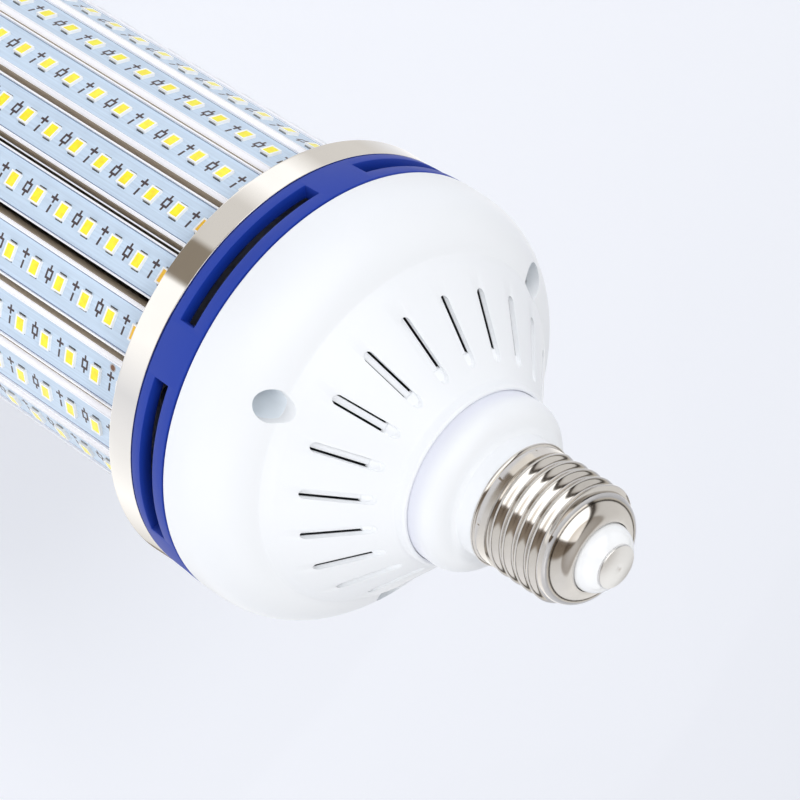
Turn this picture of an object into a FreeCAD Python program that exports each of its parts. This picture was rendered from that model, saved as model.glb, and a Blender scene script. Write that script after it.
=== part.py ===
import FreeCAD, Part
import math
import os
import Sketcher
from FreeCAD import Placement, Rotation, Vector

# A corn lamp with an Edison screw cap, standing on its flat head with the screw cap up.
# Lengths are millimetres and angles degrees. Heights named "from the line" count from
# the plane where the base band meets the slotted ring.

SIZES = [
    # Body of light strips
    ("strip_count", 20, "flat light strips round the body"),
    ("body_inset", 7.4, "band's outer radius to the tops of the bars' lips"),
    ("bar_gap", 2.434, "gap between two bars at their lips"),
    ("lip_wide", 0.35, "width of the lip beside a board"),
    ("lip_proud", 0.35, "height of the lip above the board"),
    ("board_thick", 1.2, "thickness of a light board"),
    ("board_clear", 0.1, "gap beside a board in its bar"),
    ("board_short", 1.0, "how far a board stops before its bar's end"),
    ("web_thick", 1.5, "floor of the bar under the board"),
    ("side_deep", 5.0, "depth of a bar's side walls"),
    ("side_thick", 0.9, "thickness of a bar's side walls"),
    ("rib_deep", 9.5, "reach of the two screw ribs below the lips"),
    ("rib_thick", 0.9, "thickness of a screw rib"),
    ("screw_slot", 2.4, "gap between the two screw ribs"),
    ("led_pitch", 7.8, "spacing of the lights along a strip"),
    ("led_count", 20, "lights on each strip"),
    ("led_margin", 5.4, "middle of the last light to the band's edge"),
    ("led_long", 3.5, "light package, across the strip"),
    ("led_wide", 2.8, "light package, along the strip"),
    ("led_high", 0.7, "light package, height"),
    # Bands and plates at the two ends
    ("plate_thick", 2.0, "thickness of the head and base plates"),
    ("plate_edge", 0.5, "bevel on the head plate's outer edge"),
    ("plate_clear", 0.15, "gap between a plate and its band"),
    ("band_radius", 47.6, "outer radius of a band at its body side"),
    ("band_taper", 0.2, "how much a band narrows away from the body"),
    ("band_high", 6.5, "height of a band"),
    ("band_wall", 0.8, "thickness of a band"),
    ("band_lift", 0.4, "head band's edge above the head face"),
    ("band_gap", 0.45, "gap between a band's flange and the bars"),
    ("bead", 0.35, "rounding of a band's outer edge"),
    ("air_step", 0.6, "how much narrower the base plate's air hole is than the fan"),
    # Screws through the plates into the bars
    ("plate_screws", 5, "screws in each plate"),
    ("screw_shank", 1.15, "radius of a plate screw's shank"),
    ("screw_head", 2.3, "radius of a plate screw's head"),
    ("screw_long", 9.0, "length of a plate screw"),
    ("screw_point", 1.0, "length of a plate screw's point"),
    ("screw_turn", -90.0, "angle of the first plate screw"),
    ("screw_bevel", 0.6, "bevel on the long and fan screws' heads"),
    ("hole_clear", 0.15, "radial gap round a screw in its hole"),
    # Slotted ring
    ("ring_high", 10.3, "height of the slotted ring"),
    ("ring_wall", 3.0, "wall of the slotted ring"),
    ("slot_count", 6, "long slots round the ring"),
    ("slot_sweep", 45.0, "angle that one slot covers"),
    ("slot_high", 4.1, "height of a slot"),
    ("slot_low", 2.8, "lower edge of a slot from the line"),
    # Housing
    ("housing_step", 0.4, "how far the housing stands out from the band"),
    ("housing_draft", 0.1, "how much the housing narrows up to its shoulder"),
    ("shoulder_low", 15.0, "start of the shoulder from the line"),
    ("shoulder_round", 13.5, "radius of the shoulder"),
    ("shoulder_wide", 9.4, "width of the rounded shoulder, seen from the cap"),
    ("crease_inset", 11.1, "housing's edge to the foot of the raised cone"),
    ("crease_height", 30.1, "foot of the raised cone from the line"),
    ("cone_step", 2.725, "mouth ring to the top of the raised cone"),
    ("cone_height", 43.9, "top of the raised cone from the line"),
    ("mouth_height", 49.0, "top of the housing's mouth ring from the line"),
    ("mouth_wall", 0.9, "wall of the mouth ring"),
    ("wall", 2.4, "wall of the housing"),
    ("spigot", 1.5, "depth of the housing's lip inside the ring"),
    ("spigot_clear", 0.2, "gap between that lip and the ring"),
    ("spigot_wall", 1.4, "thickness of that lip"),
    ("vent_count", 20, "radial vents in the cone"),
    ("vent_wide", 2.2, "width of a vent's trough"),
    ("vent_deep", 2.0, "depth of a vent's trough, straight down"),
    ("slit_wide", 0.6, "width of the slit along one side of the trough"),
    ("vent_head", 1.0, "top of the cone to the inner end's centre of a vent"),
    ("vent_foot", 4.5, "foot of the cone to the outer end's centre of a vent"),
    ("vent_turn", -87.0, "angle of the first vent"),
    # Long screws that hold the housing
    ("long_count", 3, "long screws that hold the housing"),
    ("long_inset", 7.7, "housing's edge to a long screw's axis"),
    ("long_turn", -76.5, "angle of the first one"),
    ("long_well", 3.4, "radius of the well above a long screw"),
    ("well_wall", 1.1, "wall of the well's tube"),
    ("well_floor", 2.0, "floor of the well's tube"),
    ("long_shank", 1.45, "radius of a long screw's shank"),
    ("long_head", 2.8, "radius of a long screw's head"),
    ("long_head_high", 2.0, "height of a long screw's head"),
    # Fan
    ("fan_room", 1.974, "slotted ring to the fan frame's square corners"),
    ("fan_high", 15.0, "height of the fan frame"),
    ("fan_flange", 3.0, "thickness of the fan frame's flanges"),
    ("duct_wall", 1.4, "wall of the fan's duct at the frame's sides"),
    ("fan_corner", 3.0, "rounding of the frame's corners"),
    ("fan_hole_inset", 5.0, "frame's side to the axis of a fan screw"),
    ("fan_turn", -16.5, "turn of the square frame"),
    ("fan_screw", 1.4, "radius of a fan screw's shank"),
    ("fan_screw_head", 2.6, "radius of a fan screw's head"),
    ("fan_screw_high", 1.8, "height of a fan screw's head"),
    ("blade_count", 7, "blades of the fan wheel"),
    ("tip_clear", 0.8, "gap between the blades' tips and the duct"),
    ("blade_thick", 1.0, "thickness of a blade"),
    ("root_slope", 48.0, "slope of a blade at the hub"),
    ("tip_slope", 34.0, "slope of a blade at its tip"),
    ("root_width", 10.5, "width of a blade at the hub"),
    ("tip_width", 13.0, "width of a blade at its tip"),
    ("hub_radius", 13.0, "radius of the fan wheel's hub"),
    ("hub_low", 4.6, "fan wheel's lower edge above the base plate"),
    ("hub_high", 9.6, "height of the fan wheel's hub"),
    ("hub_wall", 1.3, "wall of the fan wheel's hub"),
    ("hub_bevel", 0.8, "bevel on the hub's upper edge"),
    ("hub_gap", 0.6, "gap between the hub and the frame's middle"),
    ("coil_gap", 1.0, "gap between the coils and the hub's cover"),
    ("bearing_floor", 1.0, "floor under the shaft's bearing"),
    ("shaft_end", 0.4, "gap between the shaft's end and that floor"),
    ("shaft_radius", 1.5, "radius of the fan wheel's shaft"),
    ("shaft_clear", 0.05, "gap between the shaft and its bearing"),
    ("stator_radius", 10.6, "radius of the coils inside the hub"),
    ("strut_wide", 2.4, "width of the fan frame's struts"),
    # Driver
    ("driver_drop", 16.5, "top of the cone to the driver board's underside"),
    ("driver_thick", 1.6, "thickness of the driver board"),
    ("driver_inset", 5.9, "foot of the cone to the driver board's edge"),
    ("post_circle", 20.4, "distance of the board posts from the axis"),
    ("post_radius", 1.9, "radius of a board post"),
    ("post_pin", 1.1, "radius of the pin under a board post"),
    ("post_count", 4, "board posts"),
    ("pin_proud", 0.8, "reach of a post's pin below the driver board"),
    ("core_wide", 14.0, "transformer core, towards the middle"),
    ("core_long", 18.0, "transformer core, length"),
    ("core_high", 11.0, "transformer core, height"),
    ("core_place", -7.0, "middle of the transformer from the axis"),
    ("bobbin_wide", 18.0, "transformer bobbin, towards the middle"),
    ("bobbin_long", 11.0, "transformer bobbin, length"),
    ("bobbin_high", 8.0, "transformer bobbin, height"),
    ("can_radius", 5.0, "radius of the filter capacitor"),
    ("can_room", 0.5, "gap between the filter capacitor and the housing above it"),
    ("can_bevel", 0.4, "bevel and bead of the filter capacitor"),
    ("can_place", 14.2, "distance of the filter capacitor from the axis"),
    ("can_turn", -39.0, "angle of the filter capacitor"),
    ("lead_radius", 0.7, "radius of a supply lead"),
    ("lead_bend", 1.5, "length that a bend takes from a lead's straight runs"),
    ("lead_rise", 12.0, "where the contact's lead starts inwards, below the rim"),
    ("lead_centre", 2.0, "where that lead reaches the axis, above the rim"),
    ("contact_lead", 7.4, "distance of the contact's lead from the axis"),
    ("contact_turn", 48.0, "angle of the contact's lead"),
    ("shell_turn", 29.0, "angle of the shell's lead"),
    # Collar between housing and screw cap
    ("collar_radius", 18.9, "radius of the collar"),
    ("collar_low", 43.0, "underside of the collar from the line"),
    ("collar_shoulder", 52.3, "start of the collar's front rounding from the line"),
    ("collar_front", 56.0, "front of the collar from the line"),
    ("front_round", 4.7, "radius of the front rounding"),
    ("neck_ramp", 1.0, "rise from the front rounding to the neck"),
    ("collar_wall", 1.8, "wall of the collar"),
    ("neck_radius", 13.1, "radius of the neck below the screw cap"),
    ("front_radius", 14.4, "where the front rounding meets the neck"),
    ("plug_radius", 12.2, "radius of the neck's plug inside the cap"),
    ("plug_wall", 1.2, "wall of the plug"),
    ("plug_deep", 3.2, "depth of the plug inside the cap"),
    # Edison screw cap
    ("cap_height", 60.6, "rim of the screw shell from the line"),
    ("rim_radius", 13.45, "radius of the shell's rim"),
    ("skirt_radius", 12.9, "radius of the plain skirt"),
    ("skirt_high", 3.5, "height of the skirt above the rim"),
    ("skirt_step", 0.6, "height of the step from the skirt to the thread"),
    ("root_radius", 12.2, "radius at the root of the thread"),
    ("shell_top", 22.4, "top edge of the shell above the rim"),
    ("shell_taper", 18.0, "start of the shell's rounded taper above the rim"),
    ("taper_round", 6.0, "radius of the rounded taper"),
    ("shell_wall", 0.5, "thickness of the shell"),
    ("seat_radius", 7.8, "radius of the insulator at the shell's top edge"),
    ("insulator_top", 25.9, "top of the insulator above the rim"),
    ("insulator_grip", 3.0, "width of the insulator's flange inside the shell"),
    ("flange_high", 1.4, "height of that flange"),
    ("contact_radius", 4.7, "radius of the centre contact"),
    ("contact_edge", 0.5, "height of the contact's edge"),
    ("contact_dome", 0.6, "rise of the contact's dome"),
    ("contact_seat", 0.3, "width of the insulator's flat round the contact"),
    ("stem_radius", 1.0, "radius of the contact's stem"),
    ("stem_down", 2.0, "reach of the stem below the start of the taper"),
]

doc = FreeCAD.newDocument("corn_lamp")
sheet = doc.addObject("Spreadsheet::Sheet", "sizes")
for row, (alias, value, note) in enumerate(SIZES, start=1):
    sheet.set(f"A{row}", alias)
    sheet.set(f"B{row}", str(value))
    sheet.set(f"C{row}", note)
    sheet.setAlias(f"B{row}", alias)
doc.recompute()


class Size:
    """A number and the sheet formula that gives it."""

    def __init__(self, number, formula):
        self.number = number
        self.formula = formula

    def __add__(self, other):
        other = size_of(other)
        return Size(self.number + other.number, f"({self.formula} + {other.formula})")

    def __sub__(self, other):
        other = size_of(other)
        return Size(self.number - other.number, f"({self.formula} - {other.formula})")

    def __mul__(self, other):
        other = size_of(other)
        return Size(self.number * other.number, f"({self.formula} * {other.formula})")

    def __truediv__(self, other):
        other = size_of(other)
        return Size(self.number / other.number, f"({self.formula} / {other.formula})")

    def __neg__(self):
        return Size(-self.number, f"(0 - {self.formula})")

    def __radd__(self, other):
        return size_of(other) + self

    def __rmul__(self, other):
        return size_of(other) * self

    def __rtruediv__(self, other):
        return size_of(other) / self


def size_of(value):
    """A plain number as a Size."""
    if isinstance(value, Size):
        return value
    return Size(float(value), f"({float(value)})")


def root(size):
    """The square root of a Size."""
    return Size(math.sqrt(size.number), f"sqrt({size.formula})")


def cosine(angle):
    """The cosine of an angle in degrees."""
    return Size(math.cos(math.radians(angle.number)), f"cos({angle.formula})")


def sine(angle):
    """The sine of an angle in degrees."""
    return Size(math.sin(math.radians(angle.number)), f"sin({angle.formula})")


class Sheet:
    """The sheet's values, one attribute for each alias."""

    def __getattr__(self, alias):
        return Size(float(sheet.get(alias)), f"sizes.{alias}")


at = Sheet()
ZERO = size_of(0)
HALF_ROUND = "half round"

# Heights that follow from the driving sizes
body_seen = (at.led_count - 1) * at.led_pitch + 2 * at.led_margin
first_led = at.band_lift + at.band_high + at.led_margin
line = at.band_lift + 2 * at.band_high + body_seen
base_plate_low = line - at.plate_thick
bar_long = base_plate_low - at.plate_thick
lip_apothem = at.band_radius - at.body_inset
half_step = 180 / at.strip_count
bar_wide = 2 * lip_apothem * sine(half_step) / cosine(half_step) - at.bar_gap
board_face = lip_apothem - at.lip_proud
board_floor = board_face - at.board_thick
bar_corner = root(lip_apothem * lip_apothem + bar_wide * bar_wide / 4)
strip_step = 360 / at.strip_count
cap_line = line + at.cap_height
screw_circle = lip_apothem - (at.rib_deep + at.board_thick + at.web_thick) / 2 - 1
plate_radius = at.band_radius - at.band_taper - at.band_wall - at.plate_clear
ring_low_radius = at.band_radius - at.band_taper
ring_inner = ring_low_radius - at.ring_wall
housing_low = at.ring_high - at.spigot
housing_radius = at.band_radius + at.housing_step
shoulder_end = housing_radius - at.shoulder_wide
crease_radius = housing_radius - at.crease_inset
collar_bore = at.collar_radius + at.hole_clear / 2
mouth_radius = collar_bore + at.mouth_wall
cone_radius = mouth_radius + at.cone_step
long_circle = housing_radius - at.long_inset
driver_height = at.cone_height - at.driver_drop
driver_top = driver_height + at.driver_thick
driver_radius = crease_radius - at.driver_inset
can_high = at.cone_height - at.wall - at.can_room - driver_top
fan_half = (ring_inner - at.fan_room) / root(size_of(2))
fan_bore = fan_half - at.duct_wall
fan_holes = fan_half - at.fan_hole_inset
blade_tip = fan_bore - at.tip_clear
air_hole = fan_bore - at.air_step


def bind(thing, formulas):
    """Tie properties of an object to sizes of the sheet."""
    for name, size in formulas.items():
        thing.setExpression(name, size_of(size).formula)
    return thing


def lift(thing, height, turn=ZERO):
    """Place an object at a height, turned about the lamp's axis."""
    return bind(thing, {"Placement.Base.z": height, "Placement.Rotation.Angle": turn})


# Sketches
def hold(sketch, kind, geometry, vertex, size):
    """Hold one coordinate of a vertex at a size from the sketch's centre."""
    if size.formula == ZERO.formula:
        axis = -2 if kind == "DistanceX" else -1
        sketch.addConstraint(Sketcher.Constraint("PointOnObject", geometry, vertex, axis))
        return
    if size.number < 0:
        ends = (geometry, vertex, -1, 1, -size.number)
        size = -size
    else:
        ends = (-1, 1, geometry, vertex, size.number)
    index = sketch.addConstraint(Sketcher.Constraint(kind, *ends))
    sketch.setExpression(f"Constraints[{index}]", size.formula)


def arc_between(here, there, radius, turn):
    """A circular arc between two points; turn is 1 to the left and -1 to the right."""
    chord = there - here
    half = chord.Length / 2
    side = Vector(-chord.y, chord.x, 0).normalize()
    centre = (here + there) * 0.5 + side * (turn * math.sqrt(max(radius * radius - half * half, 0)))
    angles = [math.atan2(p.y - centre.y, p.x - centre.x) for p in (here, there)][::turn]
    return Part.ArcOfCircle(Part.Circle(centre, Vector(0, 0, 1), radius), *angles)


def outline(sketch, corners, bends=None):
    """Draw a closed outline; bends gives some sides, by number, a (radius, turn)."""
    bends = bends or {}
    corners = [(size_of(x), size_of(y)) for x, y in corners]
    spots = [Vector(x.number, y.number, 0) for x, y in corners]
    sides = []
    for number, here in enumerate(spots):
        there = spots[(number + 1) % len(spots)]
        if number in bends:
            radius, turn = bends[number]
            if radius is HALF_ROUND:
                arc = arc_between(here, there, (there - here).Length / 2, turn)
                geometry = sketch.addGeometry(arc)
                ends = (geometry, 1, geometry, 2, geometry, 3)
                sketch.addConstraint(Sketcher.Constraint("Symmetric", *ends))
            else:
                geometry = sketch.addGeometry(arc_between(here, there, radius.number, turn))
                index = sketch.addConstraint(Sketcher.Constraint("Radius", geometry, radius.number))
                sketch.setExpression(f"Constraints[{index}]", radius.formula)
            sides.append((geometry, 1, 2) if turn > 0 else (geometry, 2, 1))
        else:
            geometry = sketch.addGeometry(Part.LineSegment(here, there))
            sides.append((geometry, 1, 2))
    for number, (x, y) in enumerate(corners):
        geometry, start, _ = sides[number]
        before, _, end = sides[number - 1]
        sketch.addConstraint(Sketcher.Constraint("Coincident", before, end, geometry, start))
        hold(sketch, "DistanceX", geometry, start, x)
        hold(sketch, "DistanceY", geometry, start, y)


def circle(sketch, radius, x=ZERO, y=ZERO):
    """Draw a circle of a given radius and centre."""
    centre = Vector(x.number, y.number, 0)
    geometry = sketch.addGeometry(Part.Circle(centre, Vector(0, 0, 1), radius.number))
    index = sketch.addConstraint(Sketcher.Constraint("Radius", geometry, radius.number))
    sketch.setExpression(f"Constraints[{index}]", radius.formula)
    hold(sketch, "DistanceX", geometry, 3, x)
    hold(sketch, "DistanceY", geometry, 3, y)


# Bodies and their features
def add_body(name):
    """A new body that becomes a node of the same name."""
    body = doc.addObject("PartDesign::Body", name)
    body.Label = name
    return body


def origin(body, role):
    """The plane or axis of a body's origin that has this role."""
    return next(item for item in body.Origin.OriginFeatures if item.Role == role)


def add_sketch(body, role, height=ZERO):
    """A sketch on a plane of the body's origin, raised along that plane's normal."""
    sketch = body.newObject("Sketcher::SketchObject", f"{body.Name}_outline")
    sketch.AttachmentSupport = [(origin(body, role), "")]
    sketch.MapMode = "FlatFace"
    bind(sketch, {"AttachmentOffset.Base.z": height})
    return sketch


def revolve(body, sketch, kind="PartDesign::Revolution"):
    """Turn a section round the lamp's axis, adding it or cutting a groove."""
    feature = body.newObject(kind, f"{body.Name}_turned")
    feature.Profile = sketch
    feature.ReferenceAxis = (sketch, ["V_Axis"])
    feature.Angle = 360
    sketch.Visibility = False
    body.Tip = feature
    return feature


def pad(body, sketch, length):
    """Raise a section by a length."""
    feature = body.newObject("PartDesign::Pad", f"{body.Name}_raised")
    feature.Profile = sketch
    bind(feature, {"Length": length})
    body.Tip = feature
    return feature


def pocket(body, sketch, length):
    """Cut a section downwards by a length."""
    feature = body.newObject("PartDesign::Pocket", f"{body.Name}_cut")
    feature.Profile = sketch
    bind(feature, {"Length": length})
    body.Tip = feature
    return feature


def around(body, features, count):
    """Repeat features evenly round the lamp's axis."""
    pattern = body.newObject("PartDesign::PolarPattern", f"{body.Name}_repeated")
    pattern.Originals = features
    pattern.Axis = (origin(body, "Z_Axis"), [""])
    pattern.Angle = 360
    bind(pattern, {"Occurrences": count})
    body.Tip = pattern
    return pattern


def on_circle(radius, angle):
    """The x and y of a point on a circle round the axis."""
    return radius * cosine(angle), radius * sine(angle)


# Heat sink bars and light boards
def add_strips():
    """The bars with a board in each, one pair for every side of the body."""
    half = bar_wide / 2
    seat = half - at.lip_wide
    inner = half - at.side_thick
    web = board_floor - at.web_thick
    wall_end = lip_apothem - at.side_deep
    rib_end = lip_apothem - at.rib_deep
    rib_in = at.screw_slot / 2
    rib_out = rib_in + at.rib_thick
    right = [
        (seat, board_floor),
        (seat, lip_apothem),
        (half, lip_apothem),
        (half, wall_end),
        (inner, wall_end),
        (inner, web),
        (rib_out, web),
        (rib_out, rib_end),
        (rib_in, rib_end),
        (rib_in, web - at.rib_thick),
    ]
    section = doc.addObject("Sketcher::SketchObject", "bar_section")
    outline(section, right + [(-x, y) for x, y in reversed(right)])
    for number in range(int(at.strip_count.number)):
        turn = 180 + number * strip_step
        bar = doc.addObject("Part::Extrusion", f"heat_sink_bar_{number + 1:02d}")
        bar.Base = section
        bar.DirMode = "Normal"
        bar.Solid = True
        bind(bar, {"LengthFwd": bar_long})
        lift(bar, at.plate_thick, turn)
        pieces.append(bar)
        board_wide = 2 * (seat - at.board_clear)
        board = doc.addObject("Part::Box", f"led_board_{number + 1:02d}")
        along = -board_wide / 2
        bind(
            board,
            {
                "Length": board_wide,
                "Width": at.board_thick,
                "Height": bar_long - 2 * at.board_short,
                "Placement.Base.x": along * cosine(turn) - board_floor * sine(turn),
                "Placement.Base.y": along * sine(turn) + board_floor * cosine(turn),
            },
        )
        lift(board, at.plate_thick + at.board_short, turn)
        pieces.append(board)


def add_leds():
    """Every light package, in rows along the boards."""
    long, wide, high = at.led_long.number, at.led_wide.number, at.led_high.number
    solids = []
    for strip in range(int(at.strip_count.number)):
        turn = Rotation(Vector(0, 0, 1), 180 + strip * strip_step.number)
        for step in range(int(at.led_count.number)):
            height = first_led.number + step * at.led_pitch.number - wide / 2
            led = Part.makeBox(long, high, wide, Vector(-long / 2, board_face.number, height))
            led.Placement = Placement(Vector(), turn)
            solids.append(led)
    add_feature("led_packages", Part.Compound(solids), ZERO)


def add_feature(name, shape, height, x=ZERO, y=ZERO):
    """A piece with its own shape, placed at a height above a point of the floor."""
    feature = doc.addObject("Part::Feature", name)
    feature.Shape = shape
    feature.Placement = Placement(Vector(x.number, y.number, height.number), Rotation())
    pieces.append(feature)


# Bands and plates
def add_band(name, low, body_up):
    """A pressed band: an outer wall, and a flange towards the bars on its body side."""
    wide = at.band_radius
    narrow = wide - at.band_taper
    flange = bar_corner + at.band_gap
    thick = at.band_wall
    tall = at.band_high
    body = add_body(name)
    sketch = add_sketch(body, "XZ_Plane")
    corners = [
        (narrow - thick, ZERO),
        (narrow, ZERO),
        (wide, tall - at.bead),
        (wide - at.bead, tall),
        (flange, tall),
        (flange, tall - thick),
        (wide - thick, tall - thick),
    ]
    if body_up:
        outline(sketch, corners, {2: (at.bead, 1)})
    else:
        outline(sketch, [(x, tall - z) for x, z in corners], {2: (at.bead, -1)})
    revolve(body, sketch)
    lift(body, low)
    pieces.append(body)


def add_plate(name, head_up):
    """A round plate with countersunk holes for the screws into the bars."""
    body = add_body(name)
    thick = at.plate_thick
    sketch = add_sketch(body, "XZ_Plane")
    if head_up:
        corners = [
            (air_hole, ZERO),
            (plate_radius, ZERO),
            (plate_radius, thick),
            (air_hole, thick),
        ]
    else:
        corners = [
            (ZERO, ZERO),
            (plate_radius - at.plate_edge, ZERO),
            (plate_radius, at.plate_edge),
            (plate_radius, thick),
            (ZERO, thick),
        ]
    outline(sketch, corners)
    revolve(body, sketch)
    section = add_sketch(body, "XZ_Plane")
    edge = at.screw_head + at.hole_clear
    neck = at.screw_shank + at.hole_clear
    hole = [(ZERO, ZERO), (edge, ZERO), (neck, edge - neck), (neck, thick), (ZERO, thick)]
    if head_up:
        hole = [(x, thick - z) for x, z in hole]
    outline(section, [(x + screw_circle, z) for x, z in hole])
    cut = body.newObject("PartDesign::Groove", f"{name}_holes")
    cut.Profile = section
    cut.ReferenceAxis = (section, ["Edge5"])
    cut.Angle = 360
    body.Tip = cut
    around(body, [cut], at.plate_screws)
    return body


def add_plates():
    """The closed head plate, and the base plate with its air hole and screw holes."""
    head = add_plate("head_plate", False)
    lift(head, ZERO, at.screw_turn)
    pieces.append(head)
    base = add_plate("base_plate", True)
    long_holes = add_sketch(base, "XY_Plane", at.plate_thick)
    x, y = on_circle(long_circle, at.long_turn - at.screw_turn)
    circle(long_holes, at.long_shank + at.shaft_clear, x, y)
    around(base, [pocket(base, long_holes, at.plate_thick * 2)], at.long_count)
    screw_holes = add_sketch(base, "XY_Plane", at.plate_thick)
    x, y = on_circle(fan_holes * root(size_of(2)), at.fan_turn + 45 - at.screw_turn)
    circle(screw_holes, at.fan_screw + at.shaft_clear, x, y)
    around(base, [pocket(base, screw_holes, at.plate_thick * 2)], size_of(4))
    lift(base, base_plate_low, at.screw_turn)
    pieces.append(base)


def turned(points):
    """A solid of revolution about the vertical axis from (radius, height) points."""
    wire = Part.makePolygon([Vector(r, 0, z) for r, z in points + points[:1]])
    return Part.Face(wire).revolve(Vector(), Vector(0, 0, 1), 360)


def add_plate_screws():
    """Countersunk screws through both plates into the bars' screw ribs."""
    head, shank, long = at.screw_head.number, at.screw_shank.number, at.screw_long.number
    point = long - at.screw_point.number
    screw = turned([(0, 0), (head, 0), (shank, head - shank), (shank, point), (0, long)])
    over = Rotation(Vector(1, 0, 0), 180)
    solids = []
    for number in range(int(at.plate_screws.number)):
        angle = at.screw_turn.number + number * 360 / at.plate_screws.number
        turn = Rotation(Vector(0, 0, 1), angle)
        spot = turn.multVec(Vector(screw_circle.number, 0, 0))
        low = screw.copy()
        low.Placement = Placement(spot, turn)
        high = screw.copy()
        high.Placement = Placement(spot + Vector(0, 0, line.number), turn * over)
        solids += [low, high]
    add_feature("plate_screws", Part.Compound(solids), ZERO)


# Slotted ring
def add_vent_ring():
    """The coloured ring: a flared wall with long slots and columns for the long screws."""
    body = add_body("vent_ring")
    sketch = add_sketch(body, "XZ_Plane")
    outline(
        sketch,
        [
            (ring_inner, ZERO),
            (ring_low_radius, ZERO),
            (housing_radius, at.ring_high),
            (ring_inner, at.ring_high),
        ],
    )
    revolve(body, sketch)
    column = add_sketch(body, "XY_Plane")
    x, y = on_circle(long_circle, at.long_turn)
    circle(column, at.long_well + at.well_wall, x, y)
    post = pad(body, column, housing_low)
    around(body, [post], at.long_count)
    hole = add_sketch(body, "XY_Plane", housing_low)
    circle(hole, at.long_shank + at.hole_clear, x, y)
    around(body, [pocket(body, hole, housing_low)], at.long_count)
    slot = add_sketch(body, "XZ_Plane")
    outline(
        slot,
        [
            (ring_inner - 1, at.slot_low),
            (housing_radius + 1, at.slot_low),
            (housing_radius + 1, at.slot_low + at.slot_high),
            (ring_inner - 1, at.slot_low + at.slot_high),
        ],
    )
    groove = body.newObject("PartDesign::Groove", "vent_ring_slot")
    groove.Profile = slot
    groove.ReferenceAxis = (slot, ["V_Axis"])
    bind(groove, {"Angle": at.slot_sweep})
    start = at.long_turn + 180 / at.slot_count - at.slot_sweep / 2
    bind(slot, {"AttachmentOffset.Rotation.Angle": start})
    slot.AttachmentOffset = Placement(Vector(), Rotation(Vector(0, 1, 0), start.number))
    body.Tip = groove
    around(body, [groove], at.slot_count)
    lift(body, line)
    pieces.append(body)


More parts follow.
